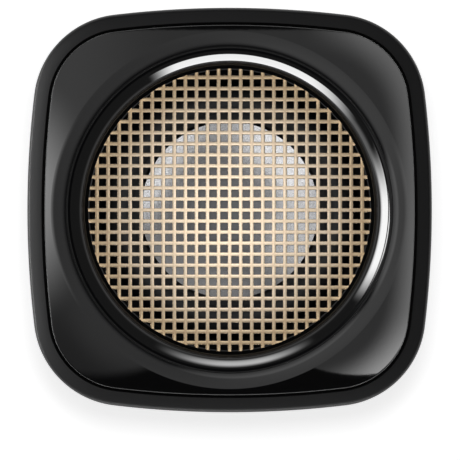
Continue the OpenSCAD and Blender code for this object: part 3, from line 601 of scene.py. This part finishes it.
def makeCasing():
    bm = bmesh.new()
    spinSection(bm, casingSection(), outline["steps"])
    warpToOutline(bm)
    shell = makeObject("casing_shell", bm, [casingBlack], 30)
    for centre, width, height, start, roundness, segments in portCutters():
        bm = bmesh.new()
        slotRod(bm, centre, width, height, start, ports["outside"], roundness, segments)
        bmesh.ops.recalc_face_normals(bm, faces=bm.faces)
        cutWith(shell, makeObject("cutter", bm, []))
    shell.data.set_sharp_from_angle(angle=radians(30))
    return settle(shell, "hub_body", "casing_black", "housing")


casingPiece = makeCasing()
print("casing shell made")


# front bezel

bezel = {
    "edgeRoll": 0.2 * mm,
    "edgeHold": 0.03 * mm,   # a narrow flat that keeps the roll's shading off the face
    "plate": 2.4 * mm,
    "skirtThick": 1.5 * mm,
    "skirtDeep": 8 * mm,
    "flareOut": 49.4 * mm,
    "flareIn": 44.4 * mm,
    "flareHollow": 9 * mm,
    "flareSink": 0.04 * mm,
    "seatIn": 38.1 * mm,
    "seatOut": 42.2 * mm,
    "seatThick": 5.2 * mm,
    "plateauRings": 8,
}


def creaseRadius():
    # where the hollow flare leaves the flat face
    hollow, sink = bezel["flareHollow"], bezel["flareSink"]
    return bezel["flareOut"] - sqrt(hollow ** 2 - (hollow - sink) ** 2)


def bezelSection():
    half = outline["width"] / 2
    edge = half - casing["rimWidth"] - casing["groove"]
    roll = bezel["edgeRoll"]
    low = plateauZ - bezel["skirtDeep"]
    points = [(edge, low), (edge, (low + plateauZ) / 2)]
    points += arcPoints((edge - roll, plateauZ - roll), roll, 0, 90, 24)
    start, end, crease = edge - roll, bezel["flareOut"], creaseRadius()
    hollow, sink = bezel["flareHollow"], bezel["flareSink"]
    points.append((start - bezel["edgeHold"], plateauZ))
    for i in range(1, bezel["plateauRings"]):
        points.append((start + (crease - start) * i / bezel["plateauRings"], plateauZ))
    middle = plateauZ + hollow - sink
    flareSteps = 18
    for i in range(flareSteps + 1):
        r = crease - (crease - bezel["flareIn"]) * i / flareSteps
        points.append((r, middle - sqrt(hollow ** 2 - (end - r) ** 2)))
    under, seatLow = plateauZ - bezel["plate"], plateauZ - bezel["seatThick"]
    skirt = edge - bezel["skirtThick"]
    points += [(bezel["flareIn"], seatZ), (bezel["seatIn"], seatZ), (bezel["seatIn"], seatLow)]
    points += [(bezel["seatOut"], seatLow), (bezel["seatOut"], under), (skirt, under), (skirt, low)]
    return points


def makeBezel():
    bm = bmesh.new()
    spinSection(bm, bezelSection(), outline["steps"])
    edge = outline["width"] / 2 - casing["rimWidth"] - casing["groove"]
    warpToOutline(bm, creaseRadius() + 0.001 * mm, edge - bezel["edgeRoll"])
    piece = makeObject("bezel_face", bm, [bezelGloss], 4.6)
    return settle(piece, "hub_body", "bezel_gloss", "front_bezel")


bezelPiece = makeBezel()
print("bezel made")


# trim ring

ring = {
    "crest": 43.2 * mm,
    "rollIn": 4.2 * mm,
    "rollOut": 1.1 * mm,
    "rollStart": 1.15 * mm,   # this and the lip's two heights are over the channel's floor
    "lipLow": 0.9 * mm,
    "lipTop": 1.2 * mm,
    "lipIn": 38.4 * mm,
    "lipSoft": 0.08 * mm,
    "footIn": 41.7 * mm,
    "footOut": 44.3 * mm,
    "footShadeFrom": 43.95 * mm,   # painted shade from here out, matt black where the foot faces the flare
    "sheet": 0.8 * mm,
    "sheetGap": 0.05 * mm,    # between the grille's border and the ring over it
    "steps": 360,
}


def turnedPiece(name, points, materials):
    bm = bmesh.new()
    spinSection(bm, points, ring["steps"])
    for face in bm.faces:
        outside = face.calc_center_median().xy.length > ring["footShadeFrom"]
        face.material_index = int(outside and len(materials) > 1)
    return settle(makeObject(name, bm, materials, 40), "hub_body", "ring_gloss")


def makeRing():
    # the long inner roll, the tight outer roll with the foot, and the lip over the grille's border; the lip
    # and the foot's outer edge are matt black, painted shade for the shadowed gaps there
    low = seatZ + ring["sheet"] + ring["sheetGap"]
    start = seatZ + ring["rollStart"]
    crest, top = ring["crest"], (ring["crest"], crestZ)
    centreIn = (crest, crestZ - ring["rollIn"])
    centreOut = (crest, crestZ - ring["rollOut"])
    wallIn = crest - sqrt(ring["rollIn"] ** 2 - (start - centreIn[1]) ** 2)
    inner = [(wallIn, start)]
    inner += [p for p in arcPoints(centreIn, ring["rollIn"], 180, 90, 60) if p[1] > start]
    inner += [(crest, low), (wallIn, low)]
    outer = [top] + arcPoints(centreOut, ring["rollOut"], 90, 0, 14)[1:]
    outer += [(ring["footOut"], seatZ), (ring["footIn"], seatZ), (ring["footIn"], low), (crest, low)]
    lipIn, lipLow, lipTop = ring["lipIn"], seatZ + ring["lipLow"], seatZ + ring["lipTop"]
    soft = ring["lipSoft"]
    lip = [(lipIn, lipLow), (lipIn, lipTop - soft), (lipIn + soft, lipTop)]
    lip += [(wallIn, lipTop), (wallIn, lipLow)]
    innerPiece = turnedPiece("trim_ring_roll", inner, [ringRoll])
    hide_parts("trim_ring")
    outerPiece = turnedPiece("trim_ring_outer", outer, [ringFoot, paintedShadeBlack])
    return innerPiece, outerPiece, turnedPiece("trim_ring_lip", lip, [paintedShadeBlack])


ringInner, ringOuter, ringLip = makeRing()
print("trim ring made")


# what holds the shells together inside

inside = {
    "headRadius": 2.7 * mm,
    "screwRadius": 1.5 * mm,
    "postRadius": 3.4 * mm,
    "bossHole": 1.7 * mm,
    "bossRadius": 4.4 * mm,
    "bossHigh": 3 * mm,
    "webWide": 3 * mm,
    "webLong": 7 * mm,
    "earAt": 43.6 * mm,
    "earRadius": 2.9 * mm,
    "earHole": 1 * mm,
    "ribThick": 1.2 * mm,
    "ribAt": 7 * mm,
    "ribReach": 4 * mm,
    "ribStart": 41.7 * mm,
    "ribShort": 1.5 * mm,
}
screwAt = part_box("case_screws")[1].x - inside["headRadius"]


def joinMesh(bm, part):
    mesh = bpy.data.meshes.new("part")
    part.to_mesh(mesh)
    part.free()
    bm.from_mesh(mesh)
    bpy.data.meshes.remove(mesh)


def addTube(bm, x, y, hole, radius, low, high):
    part = bmesh.new()
    spinSection(part, [(hole, low), (radius, low), (radius, high), (hole, high)], 48)
    bmesh.ops.translate(part, verts=part.verts, vec=(x, y, 0))
    joinMesh(bm, part)


def addBar(bm, turn, start, end, aside, thick, low, high):
    part = bmesh.new()
    bmesh.ops.create_cube(part, size=1)
    bmesh.ops.scale(part, verts=part.verts, vec=(end - start, thick, high - low))
    bmesh.ops.translate(part, verts=part.verts, vec=((start + end) / 2, aside, (low + high) / 2))
    bmesh.ops.rotate(part, verts=part.verts, cent=(0, 0, 0), matrix=Matrix.Rotation(turn, 3, "Z"))
    joinMesh(bm, part)


def makeInside():
    corners = [(x * screwAt, y * screwAt) for x in (-1, 1) for y in (-1, 1)]
    diagonals = [pi / 4 + pi / 2 * k for k in range(4)]
    reach, under = screwAt * sqrt(2), plateauZ - bezel["plate"]
    ledgeZ = baseZ + casing["coverThick"]
    bossTop, webTop = ledgeZ + inside["bossHigh"], ledgeZ + casing["ledgeThick"]
    bosses = bmesh.new()
    for x, y in corners:
        addTube(bosses, x, y, inside["bossHole"], inside["bossRadius"], ledgeZ, bossTop)
    for turn in diagonals:
        start, end = reach + inside["postRadius"], reach + inside["webLong"]
        addBar(bosses, turn, start, end, 0, inside["webWide"], ledgeZ, webTop)
    settle(makeObject("casing_bosses", bosses, [casingBlack]), "hub_body", "casing_black")
    posts = bmesh.new()
    for x, y in corners:
        addTube(posts, x, y, inside["screwRadius"], inside["postRadius"], bossTop, under)
    for k in range(4):
        x, y = inside["earAt"] * cos(pi / 2 * k), inside["earAt"] * sin(pi / 2 * k)
        addTube(posts, x, y, inside["earHole"], inside["earRadius"], plateauZ - bezel["seatThick"], under)
    start, end = inside["ribStart"], reach + inside["ribReach"]
    low = plateauZ - bezel["skirtDeep"] + inside["ribShort"]
    for turn in diagonals:
        for aside in (-inside["ribAt"], inside["ribAt"]):
            addBar(posts, turn, start, end, aside, inside["ribThick"], low, under)
    settle(makeObject("bezel_posts", posts, [bezelGloss]), "hub_body", "bezel_gloss")


makeInside()
print("bosses and posts made")


# grille: a lattice of square holes pressed into a shallow dome

def domeLift(r):
    full = (grille["opening"] ** 2 + grille["rise"] ** 2) / (2 * grille["rise"])
    if r >= grille["opening"]:
        return 0.0
    return sqrt(full ** 2 - r ** 2) - (full - grille["rise"])


def reachOf(element):
    return max(v.co.xy.length for v in element.verts)


def isHole(face):
    # the square left inside a pierced cell's inset, by its place and its area
    middle, pitch, hole = face.calc_center_median(), grille["pitch"], grille["hole"]
    centred = all(abs((along / pitch) % 1 - 0.5) < 0.05 for along in (middle.x, middle.y))
    return centred and abs(face.calc_area() - hole * hole) < hole * hole * 0.06


def isLip(edge):
    # the edge between a hole's wall and the top
    steep = [abs(f.normal.z) for f in edge.link_faces]
    high = all(v.co.z > -grille["sheet"] / 2 for v in edge.verts)
    near = reachOf(edge) < grille["softOut"]
    return high and near and len(steep) == 2 and min(steep) < 0.5 < max(steep)


def makeGrille():
    pitch, hole, sheet, rim = grille["pitch"], grille["hole"], grille["sheet"], grille["rim"]
    cells = ceil(rim / pitch)
    bm = bmesh.new()
    bmesh.ops.create_grid(bm, x_segments=2 * cells, y_segments=2 * cells, size=cells * pitch)
    pierced = []
    for face in bm.faces:
        middle = face.calc_center_median()
        if hypot(abs(middle.x) - hole / 2, abs(middle.y) - hole / 2) < grille["opening"]:
            pierced.append(face)
    away = [f for f in bm.faces if min(v.co.xy.length for v in f.verts) > rim]
    bmesh.ops.delete(bm, geom=away, context="FACES")
    bmesh.ops.inset_individual(bm, faces=pierced, thickness=(pitch - hole) / 2, use_even_offset=True)
    corners = list({v for f in pierced for v in f.verts})
    bmesh.ops.bevel(bm, geom=corners, offset=grille["corner"], segments=2, profile=0.5,
                    affect="VERTICES", material=-1)
    bmesh.ops.delete(bm, geom=[f for f in bm.faces if isHole(f)], context="FACES")
    for v in bm.verts:
        r = v.co.xy.length
        if r > rim:
            v.co.xy *= rim / r
    bmesh.ops.remove_doubles(bm, verts=bm.verts, dist=1e-6)
    top = list(bm.faces)
    bmesh.ops.recalc_face_normals(bm, faces=top)
    if sum(f.normal.z for f in top) < 0:
        bmesh.ops.reverse_faces(bm, faces=top)
    lowered = bmesh.ops.extrude_face_region(bm, geom=top)["geom"]
    lowered = [v for v in lowered if isinstance(v, bmesh.types.BMVert)]
    bmesh.ops.translate(bm, verts=lowered, vec=(0, 0, -sheet))
    bmesh.ops.recalc_face_normals(bm, faces=bm.faces)
    walls = [f for f in bm.faces if abs(f.normal.z) < 0.5 and reachOf(f) < rim - grille["rimClear"]]
    for v in {v for f in walls for v in f.verts if v.co.z < -sheet / 2}:
        if v.co.x % pitch < pitch / 2:
            v.co.x += grille["wallLean"]
        if v.co.y % pitch > pitch / 2:
            v.co.y -= grille["wallLean"]
    bmesh.ops.bevel(bm, geom=[e for e in bm.edges if isLip(e)], offset=grille["edgeSoft"], segments=2,
                    profile=0.5, affect="EDGES", material=-1)
    bm.normal_update()
    for face in bm.faces:
        face.material_index = 1 if face.normal.z < 0.35 else 0
    for v in bm.verts:
        v.co.z += seatZ + sheet + domeLift(v.co.xy.length)
    piece = makeObject("grille_dome", bm, [grilleChampagne, grilleShade], 50)
    flats = piece.modifiers.new("flats", "WEIGHTED_NORMAL")
    flats.keep_sharp = True
    return settle(piece, "hub_body", "grille_champagne", "speaker_grille")


grillePiece = makeGrille()
print("grille made")


# loudspeaker surround: a half-roll in sectors between the basket and the cone

surround = {
    "inner": 26.2 * mm,
    "outer": 34.9 * mm,
    "height": 3.3 * mm,
    "thick": 0.5 * mm,
    "lipIn": 24.9 * mm,
    "lipOut": 37.0 * mm,
    "sectors": 12,
    "stepsEach": 16,
}


def rollLift(r):
    if not surround["inner"] < r < surround["outer"]:
        return 0.0
    middle, half = (surround["inner"] + surround["outer"]) / 2, (surround["outer"] - surround["inner"]) / 2
    full = (half ** 2 + surround["height"] ** 2) / (2 * surround["height"])
    return sqrt(full ** 2 - (r - middle) ** 2) - (full - surround["height"])


def makeSurround():
    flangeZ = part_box("surround")[0].z
    width, arcSteps = surround["outer"] - surround["inner"], 20
    radii = [surround["inner"] + width * i / arcSteps for i in range(arcSteps + 1)]
    radii = [surround["lipIn"]] + radii + [surround["lipOut"]]
    turn = 2 * pi / surround["sectors"]
    for k in range(surround["sectors"]):
        bm = bmesh.new()
        verts = [bm.verts.new((r, 0, flangeZ + surround["thick"] + rollLift(r))) for r in radii]
        edges = [bm.edges.new(pair) for pair in zip(verts, verts[1:])]
        bmesh.ops.rotate(bm, verts=verts, cent=(0, 0, 0), matrix=Matrix.Rotation((k - 0.5) * turn, 3, "Z"))
        bmesh.ops.spin(bm, geom=verts + edges, cent=(0, 0, 0), axis=(0, 0, 1), dvec=(0, 0, 0),
                       angle=turn, steps=surround["stepsEach"], use_merge=False, use_duplicate=False)
        if sum(f.normal.z for f in bm.faces) < 0:
            bmesh.ops.reverse_faces(bm, faces=bm.faces)
        grown = bmesh.ops.extrude_face_region(bm, geom=list(bm.faces))
        for g in grown["geom"]:
            if isinstance(g, bmesh.types.BMVert):
                g.co.z -= surround["thick"]
        bmesh.ops.recalc_face_normals(bm, faces=bm.faces)
        # the flat outer lip is matt black, painted shade for the shadow under the grille and the ring
        for face in bm.faces:
            r = face.calc_center_median().xy.length
            face.material_index = 0 if r < surround["outer"] else 1
        piece = makeObject("surround_sector_%02d" % (k + 1), bm, [surroundRubber, paintedShadeBlack], 40)
        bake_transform(piece)
    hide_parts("surround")


makeSurround()
print("surround made")


# floor, light and camera

studio = {
    "cameraHeight": 2.0,
    "focusHeight": 0.0356,
    "fieldWidth": 0.12505,
    "cameraX": 0.0001,
    "cameraY": -0.00542,
    "sensor": 36.0,
    "floorTone": 0.86,
    "floorGlow": 0.765,
    "overhead": 0.04,
}


def makeFloor():
    bm = bmesh.new()
    bmesh.ops.create_grid(bm, x_segments=1, y_segments=1, size=3.0)
    material = bpy.data.materials.new("paleFloor")
    material.use_nodes = True
    tree = material.node_tree
    tree.nodes.clear()
    out = tree.nodes.new("ShaderNodeOutputMaterial")
    paint = tree.nodes.new("ShaderNodeBsdfDiffuse")
    paint.inputs["Color"].default_value = (studio["floorTone"],) * 3 + (1,)
    glow = tree.nodes.new("ShaderNodeEmission")
    path = tree.nodes.new("ShaderNodeLightPath")
    seen = mathNode(tree, "ADD", path.outputs["Is Camera Ray"], path.outputs["Is Glossy Ray"], clamp=True)
    seen = mathNode(tree, "ADD", seen, path.outputs["Is Transmission Ray"], clamp=True)
    tree.links.new(mathNode(tree, "MULTIPLY", seen, studio["floorGlow"]), glow.inputs["Strength"])
    both = tree.nodes.new("ShaderNodeAddShader")
    tree.links.new(paint.outputs[0], both.inputs[0])
    tree.links.new(glow.outputs[0], both.inputs[1])
    tree.links.new(both.outputs[0], out.inputs["Surface"])
    floor = makeObject("floor", bm, [material])
    return floor


def makeWorld():
    # a plain room: dim overhead, white low down behind the floor
    world = bpy.data.worlds.new("studio")
    bpy.context.scene.world = world
    world.use_nodes = True
    tree = world.node_tree
    tree.nodes.clear()
    out = tree.nodes.new("ShaderNodeOutputWorld")
    x, y, z = splitVector(tree, tree.nodes.new("ShaderNodeTexCoord").outputs["Generated"])
    low = smoothMask(tree, z, 0.45, 0.02)
    room = tree.nodes.new("ShaderNodeBackground")
    room.inputs["Color"].default_value = (1, 1, 1, 1)
    level = mathNode(tree, "MULTIPLY_ADD", low, 1 - studio["overhead"], studio["overhead"])
    tree.links.new(level, room.inputs["Strength"])
    tree.links.new(room.outputs[0], out.inputs["Surface"])


def linkLight(lamp, receivers, passing=()):
    # the lamp lights only the receivers, and shines through the passing pieces
    group = bpy.data.collections.new(lamp.name + "Receivers")
    for piece in receivers:
        group.objects.link(piece)
    lamp.light_linking.receiver_collection = group
    if passing:
        group = bpy.data.collections.new(lamp.name + "Blockers")
        for piece in passing:
            group.objects.link(piece)
        lamp.light_linking.blocker_collection = group
        for entry in group.collection_objects:
            entry.light_linking.link_state = "EXCLUDE"


def panelLight(name, wide, tall, radiance):
    data = bpy.data.lights.new(name, "AREA")
    data.shape = "RECTANGLE"
    data.size, data.size_y = wide, tall
    data.energy = radiance * pi * wide * tall
    lamp = bpy.data.objects.new(name, data)
    lamp.visible_camera = False
    bpy.context.scene.collection.objects.link(lamp)
    data.use_nodes = True
    tree = data.node_tree
    across, up, z = splitVector(tree, tree.nodes.new("ShaderNodeNewGeometry").outputs["Parametric"])
    return lamp, tree, across, up


def setStrength(tree, level):
    tree.links.new(level, tree.nodes["Emission"].inputs["Strength"])


def softbox(name, polar, heading, wide, tall, radiance, receivers, soft=(0.5, 0.5), passing=(), distance=0.8):
    # a soft panel: polar and heading turn it off the vertical, wide and tall are the angles it spans
    size = [2 * distance * tan(radians(angle / 2)) for angle in (wide, tall)]
    lamp, tree, across, up = panelLight(name, size[0], size[1], radiance)
    tilt, turn = radians(polar), radians(heading)
    lamp.location = Vector((sin(tilt) * cos(turn), sin(tilt) * sin(turn), cos(tilt))) * distance
    lamp.rotation_euler = (tilt, 0, turn + pi / 2)
    strength = 1.0
    for along, edge in zip((across, up), soft):
        fromEdge = mathNode(tree, "PINGPONG", along, 0.5)
        strength = times(tree, smoothMask(tree, fromEdge, 0.0, edge / 2), strength)
    setStrength(tree, strength)
    linkLight(lamp, receivers, passing)
    return lamp


def ceilingPanel(name, height, half, receivers):
    # a wide level panel above, for gloss alone; gives its X and Y in metres, for its brightness to vary
    lamp, tree, across, up = panelLight(name, 2 * half, 2 * half, 1.0)
    lamp.location = (0, 0, plateauZ + height)
    x = mathNode(tree, "MULTIPLY_ADD", across, 2 * half, -half)
    y = mathNode(tree, "MULTIPLY_ADD", up, 2 * half, -half)
    lamp.visible_diffuse = False
    linkLight(lamp, receivers)
    return tree, x, y


bezelCeiling = {
    "height": 1.5,
    "half": 4.2,
    "level": 0.62,
    # each glow: its brightness, and what it grows by from 0 to 1, in millimetres on the bezel's face
    "glows": (
        (2.3, ("x", 18, 40), ("square", 43, 52), ("square", 90, 56)),
        (1.0, ("x", 18, 40), ("y", 10, -30), ("square", 43, 52), ("square", 90, 56)),
        (3.4, ("x", 18, 40), ("y", -26, -43), ("square", 43, 52), ("square", 90, 56)),
        (1.3, ("x", 100, 150), ("slant", 0.5, 0.1), ("reach", 520, 180)),
        (4.8, ("x", -38, -52), ("slant", 0.7, 0.05), ("reach", 420, 60)),
        (0.4, ("x", -15, -45), ("y", -8, 12), ("square", 90, 56)),
        (-0.32, ("x", 5, -20), ("y", -15, -38), ("square", 41, 49), ("square", 90, 56)),
        (0.4, ("x", -300, 400), ("reach", 100, 200)),
    ),
    # the ceiling's near edge bows down beside the middle and is softer to the left
    "nearEdge": -44.7,
    "bowFrom": 35,
    "bowSpan": 11,
    "bowMost": 1.3,
    "bowDeep": 1.6,
    "softRight": 0.15,
    "softLeft": 1.6,
}


def paintBezelCeiling(receivers):
    # what the bezel mirrors: measured by the place on its face that shows it, in millimetres
    tree, x, y = ceilingPanel("bezelCeiling", bezelCeiling["height"], bezelCeiling["half"], receivers)
    stretch = 1 + bezelCeiling["height"] / (studio["cameraHeight"] - plateauZ)
    x, y = [mathNode(tree, "MULTIPLY_ADD", along, 1000 / stretch, (stretch - 1) / stretch * shift * 1000)
            for along, shift in ((x, studio["cameraX"]), (y, studio["cameraY"]))]
    side = mathNode(tree, "ABSOLUTE", x)
    fourths = [mathNode(tree, "POWER", along, 4) for along in (side, mathNode(tree, "ABSOLUTE", y))]
    offLevel = mathNode(tree, "ABSOLUTE", mathNode(tree, "SUBTRACT", y, 3))
    places = {
        "x": x,
        "y": y,
        "side": side,
        "square": mathNode(tree, "POWER", mathNode(tree, "ADD", *fourths), 0.25),
        "slant": mathNode(tree, "DIVIDE", offLevel, mathNode(tree, "MAXIMUM", side, 1)),
        "reach": lengthOf(tree, x, y),
    }

    def fades(*rows):
        return times(tree, *(smoothMask(tree, places[place], start, end) for place, start, end in rows))

    level = bezelCeiling["level"]
    for bright, *rows in bezelCeiling["glows"]:
        level = mathNode(tree, "ADD", times(tree, fades(*rows), bright), level)
    # dark beyond the near and the far edge of the ceiling
    span, softRight = bezelCeiling["bowSpan"], bezelCeiling["softRight"]
    bow = mathNode(tree, "MULTIPLY_ADD", side, 1 / span, -bezelCeiling["bowFrom"] / span)
    bow = mathNode(tree, "MINIMUM", mathNode(tree, "POWER", bow, 2), bezelCeiling["bowMost"])
    edge = mathNode(tree, "MULTIPLY_ADD", bow, bezelCeiling["bowDeep"], bezelCeiling["nearEdge"])
    soft = mathNode(tree, "MULTIPLY_ADD", fades(("x", 0, -25)), bezelCeiling["softLeft"], softRight)
    beyond = mathNode(tree, "DIVIDE", mathNode(tree, "SUBTRACT", y, edge), soft)
    below = times(tree, smoothMask(tree, beyond, 1, -1), fades(("side", 75, 50)))
    above = fades(("y", 48.6, 49.1), ("side", 38, 24))
    dark = times(tree, mathNode(tree, "MAXIMUM", below, above), fades(("reach", 130, 100)))
    setStrength(tree, times(tree, level, mathNode(tree, "SUBTRACT", 1.0, dark), fades(("reach", 2000, 900))))


grilleCeiling = {
    "height": 1.5,
    "half": 3.0,
    # brightness, and the tangents off the vertical where it starts and is full
    "glows": ((3.3, 0.19, 0.0), (0.184, 1.9, 1.0)),
}


def paintGrilleCeiling(receivers):
    # bright over the middle and even further out, for the dome to fade from cream to tan
    tree, x, y = ceilingPanel("grilleCeiling", grilleCeiling["height"], grilleCeiling["half"], receivers)
    rise = mathNode(tree, "DIVIDE", lengthOf(tree, x, y), grilleCeiling["height"])
    glows = [times(tree, smoothMask(tree, rise, start, end), bright)
             for bright, start, end in grilleCeiling["glows"]]
    setStrength(tree, mathNode(tree, "ADD", *glows))


ringCeiling = {
    "height": 1.2,
    "half": 5.4,
    "level": 0.16,
    # bright sectors: heading, flat part and fade on each side, in degrees; then the near edge, its softness,
    # the far edge and its softness, as tangents off the vertical; then the brightness
    "sectors": (
        (265, (25, 25), (26, 12), 0.42, 0.03, 4.4, 0.1, 21),
        (170, (10, 10), (17, 24), 0.06, 0.01, 1.6, 0.8, 23),
        (95, (5, 5), (30, 24), 0.4, 0.3, 1.8, 1.5, 12),
        (212, (12, 12), (20, 20), 0.9, 0.5, 3.5, 0.8, 2.2),
    ),
}


def paintRingCeiling(receivers):
    # what the trim ring's inner roll mirrors
    tree, x, y = ceilingPanel("ringCeiling", ringCeiling["height"], ringCeiling["half"], receivers)
    rise = mathNode(tree, "DIVIDE", lengthOf(tree, x, y), ringCeiling["height"])
    total = ringCeiling["level"]
    for heading, flat, fade, near, nearSoft, farAway, farSoft, bright in ringCeiling["sectors"]:
        turn = radians(heading)
        along = mathNode(tree, "MULTIPLY_ADD", x, cos(turn), times(tree, y, sin(turn)))
        across = mathNode(tree, "MULTIPLY_ADD", x, -sin(turn), times(tree, y, cos(turn)))
        angle = mathNode(tree, "ARCTAN2", across, along)
        before = smoothMask(tree, angle, radians(-flat[0] - fade[0]), radians(-flat[0]))
        after = smoothMask(tree, angle, radians(flat[1] + fade[1]), radians(flat[1]))
        beyond = smoothMask(tree, rise, near - nearSoft, near + nearSoft)
        within = smoothMask(tree, rise, farAway + farSoft, farAway - farSoft)
        total = mathNode(tree, "ADD", total, times(tree, before, after, beyond, within, bright))
    setStrength(tree, total)


def makeCamera():
    data = bpy.data.cameras.new("camera")
    data.sensor_width = studio["sensor"]
    data.lens = studio["sensor"] * (studio["cameraHeight"] - studio["focusHeight"]) / studio["fieldWidth"]
    camera = bpy.data.objects.new("camera", data)
    camera.location = (studio["cameraX"], studio["cameraY"], studio["cameraHeight"])
    bpy.context.scene.collection.objects.link(camera)
    bpy.context.scene.camera = camera


floorPiece = makeFloor()
makeWorld()
makeCamera()

# every lamp: name, angle off the vertical, heading, the angles it spans and its radiance

def softboxes(rows, receivers, **settings):
    for row in rows:
        softbox(*row, receivers, **settings)


allMeshes = [o for o in bpy.context.scene.objects if o.type == "MESH"]
cap = [frame["nodes"]["dust_cap"]]
flexing = [o for o in allMeshes if o.name.startswith("surround_sector")]
ownLit = [bezelPiece, ringInner, ringOuter, ringLip, floorPiece, casingPiece, grillePiece] + cap + flexing
plainLit = [o for o in allMeshes if o not in ownLit]
through = {"passing": [grillePiece]}

softboxes([("ceiling", 0, 0, 60, 60, 0.5), ("key", 30, 90, 40, 40, 1.0)], plainLit)
softboxes([("rollTop", 0, 0, 34, 34, 2.5)], flexing, distance=0.07, **through)
softboxes([("floorKey", 7, 90, 16, 16, 21)], [floorPiece])
softboxes([
    ("capCeiling", 0, 0, 90, 90, 0.1),
    ("capFront", 42, -120, 130, 50, 0.15),
    ("capLeft", 31, 150, 50, 8, 1.6),
    ("capRight", 30.5, 48, 38, 25, 1.1),
    ("capLow", 28, -12, 44, 28, 0.61),
    ("capTop", 35, 96, 40, 16, 0.42),
], cap, **through)
softboxes([("bezelRight", 62, -5, 50, 36, 1.05), ("bezelFront", 60, -72, 70, 30, 0.8)], [bezelPiece])
# the thin line of light along the bezel's edge, a lamp each eighth of a turn
edgeLine = {0: 9, 45: 11, 90: 5.5, 135: 9, 180: 17, 225: 7, 270: 10, 315: 9}
softboxes([("edgeLine%d" % heading, 80.5, heading, 66, 17, bright) for heading, bright in edgeLine.items()],
          [bezelPiece])
softboxes([("outerRight", 45, 0, 60, 60, 1.6)], [ringOuter])
softboxes([("outerGlint", 16, -10, 8, 30, 60)], [ringOuter], soft=(0.4, 0.2))
# the lit lattice's own glow, up into the ring's inner wall
glow = softbox("latticeGlow", 0, 0, 94, 94, 0.35, [ringInner, ringLip], distance=0.036, **through)
glow.rotation_euler = (pi, 0, 0)
softboxes([
    ("casingTop", 0, 0, 100, 100, 0.17),
    ("casingLeft", 38, 174, 40, 40, 2.5),
    ("casingLow", 76, 180, 60, 16, 10),
    ("casingFront", 50, -90, 60, 30, 0.8),
    ("frontLow", 76, -90, 60, 16, 4),
], [casingPiece])
paintGrilleCeiling([grillePiece])
paintBezelCeiling([bezelPiece])
paintRingCeiling([ringInner])
bpy.context.scene.view_settings.view_transform = "Standard"
print("studio made")
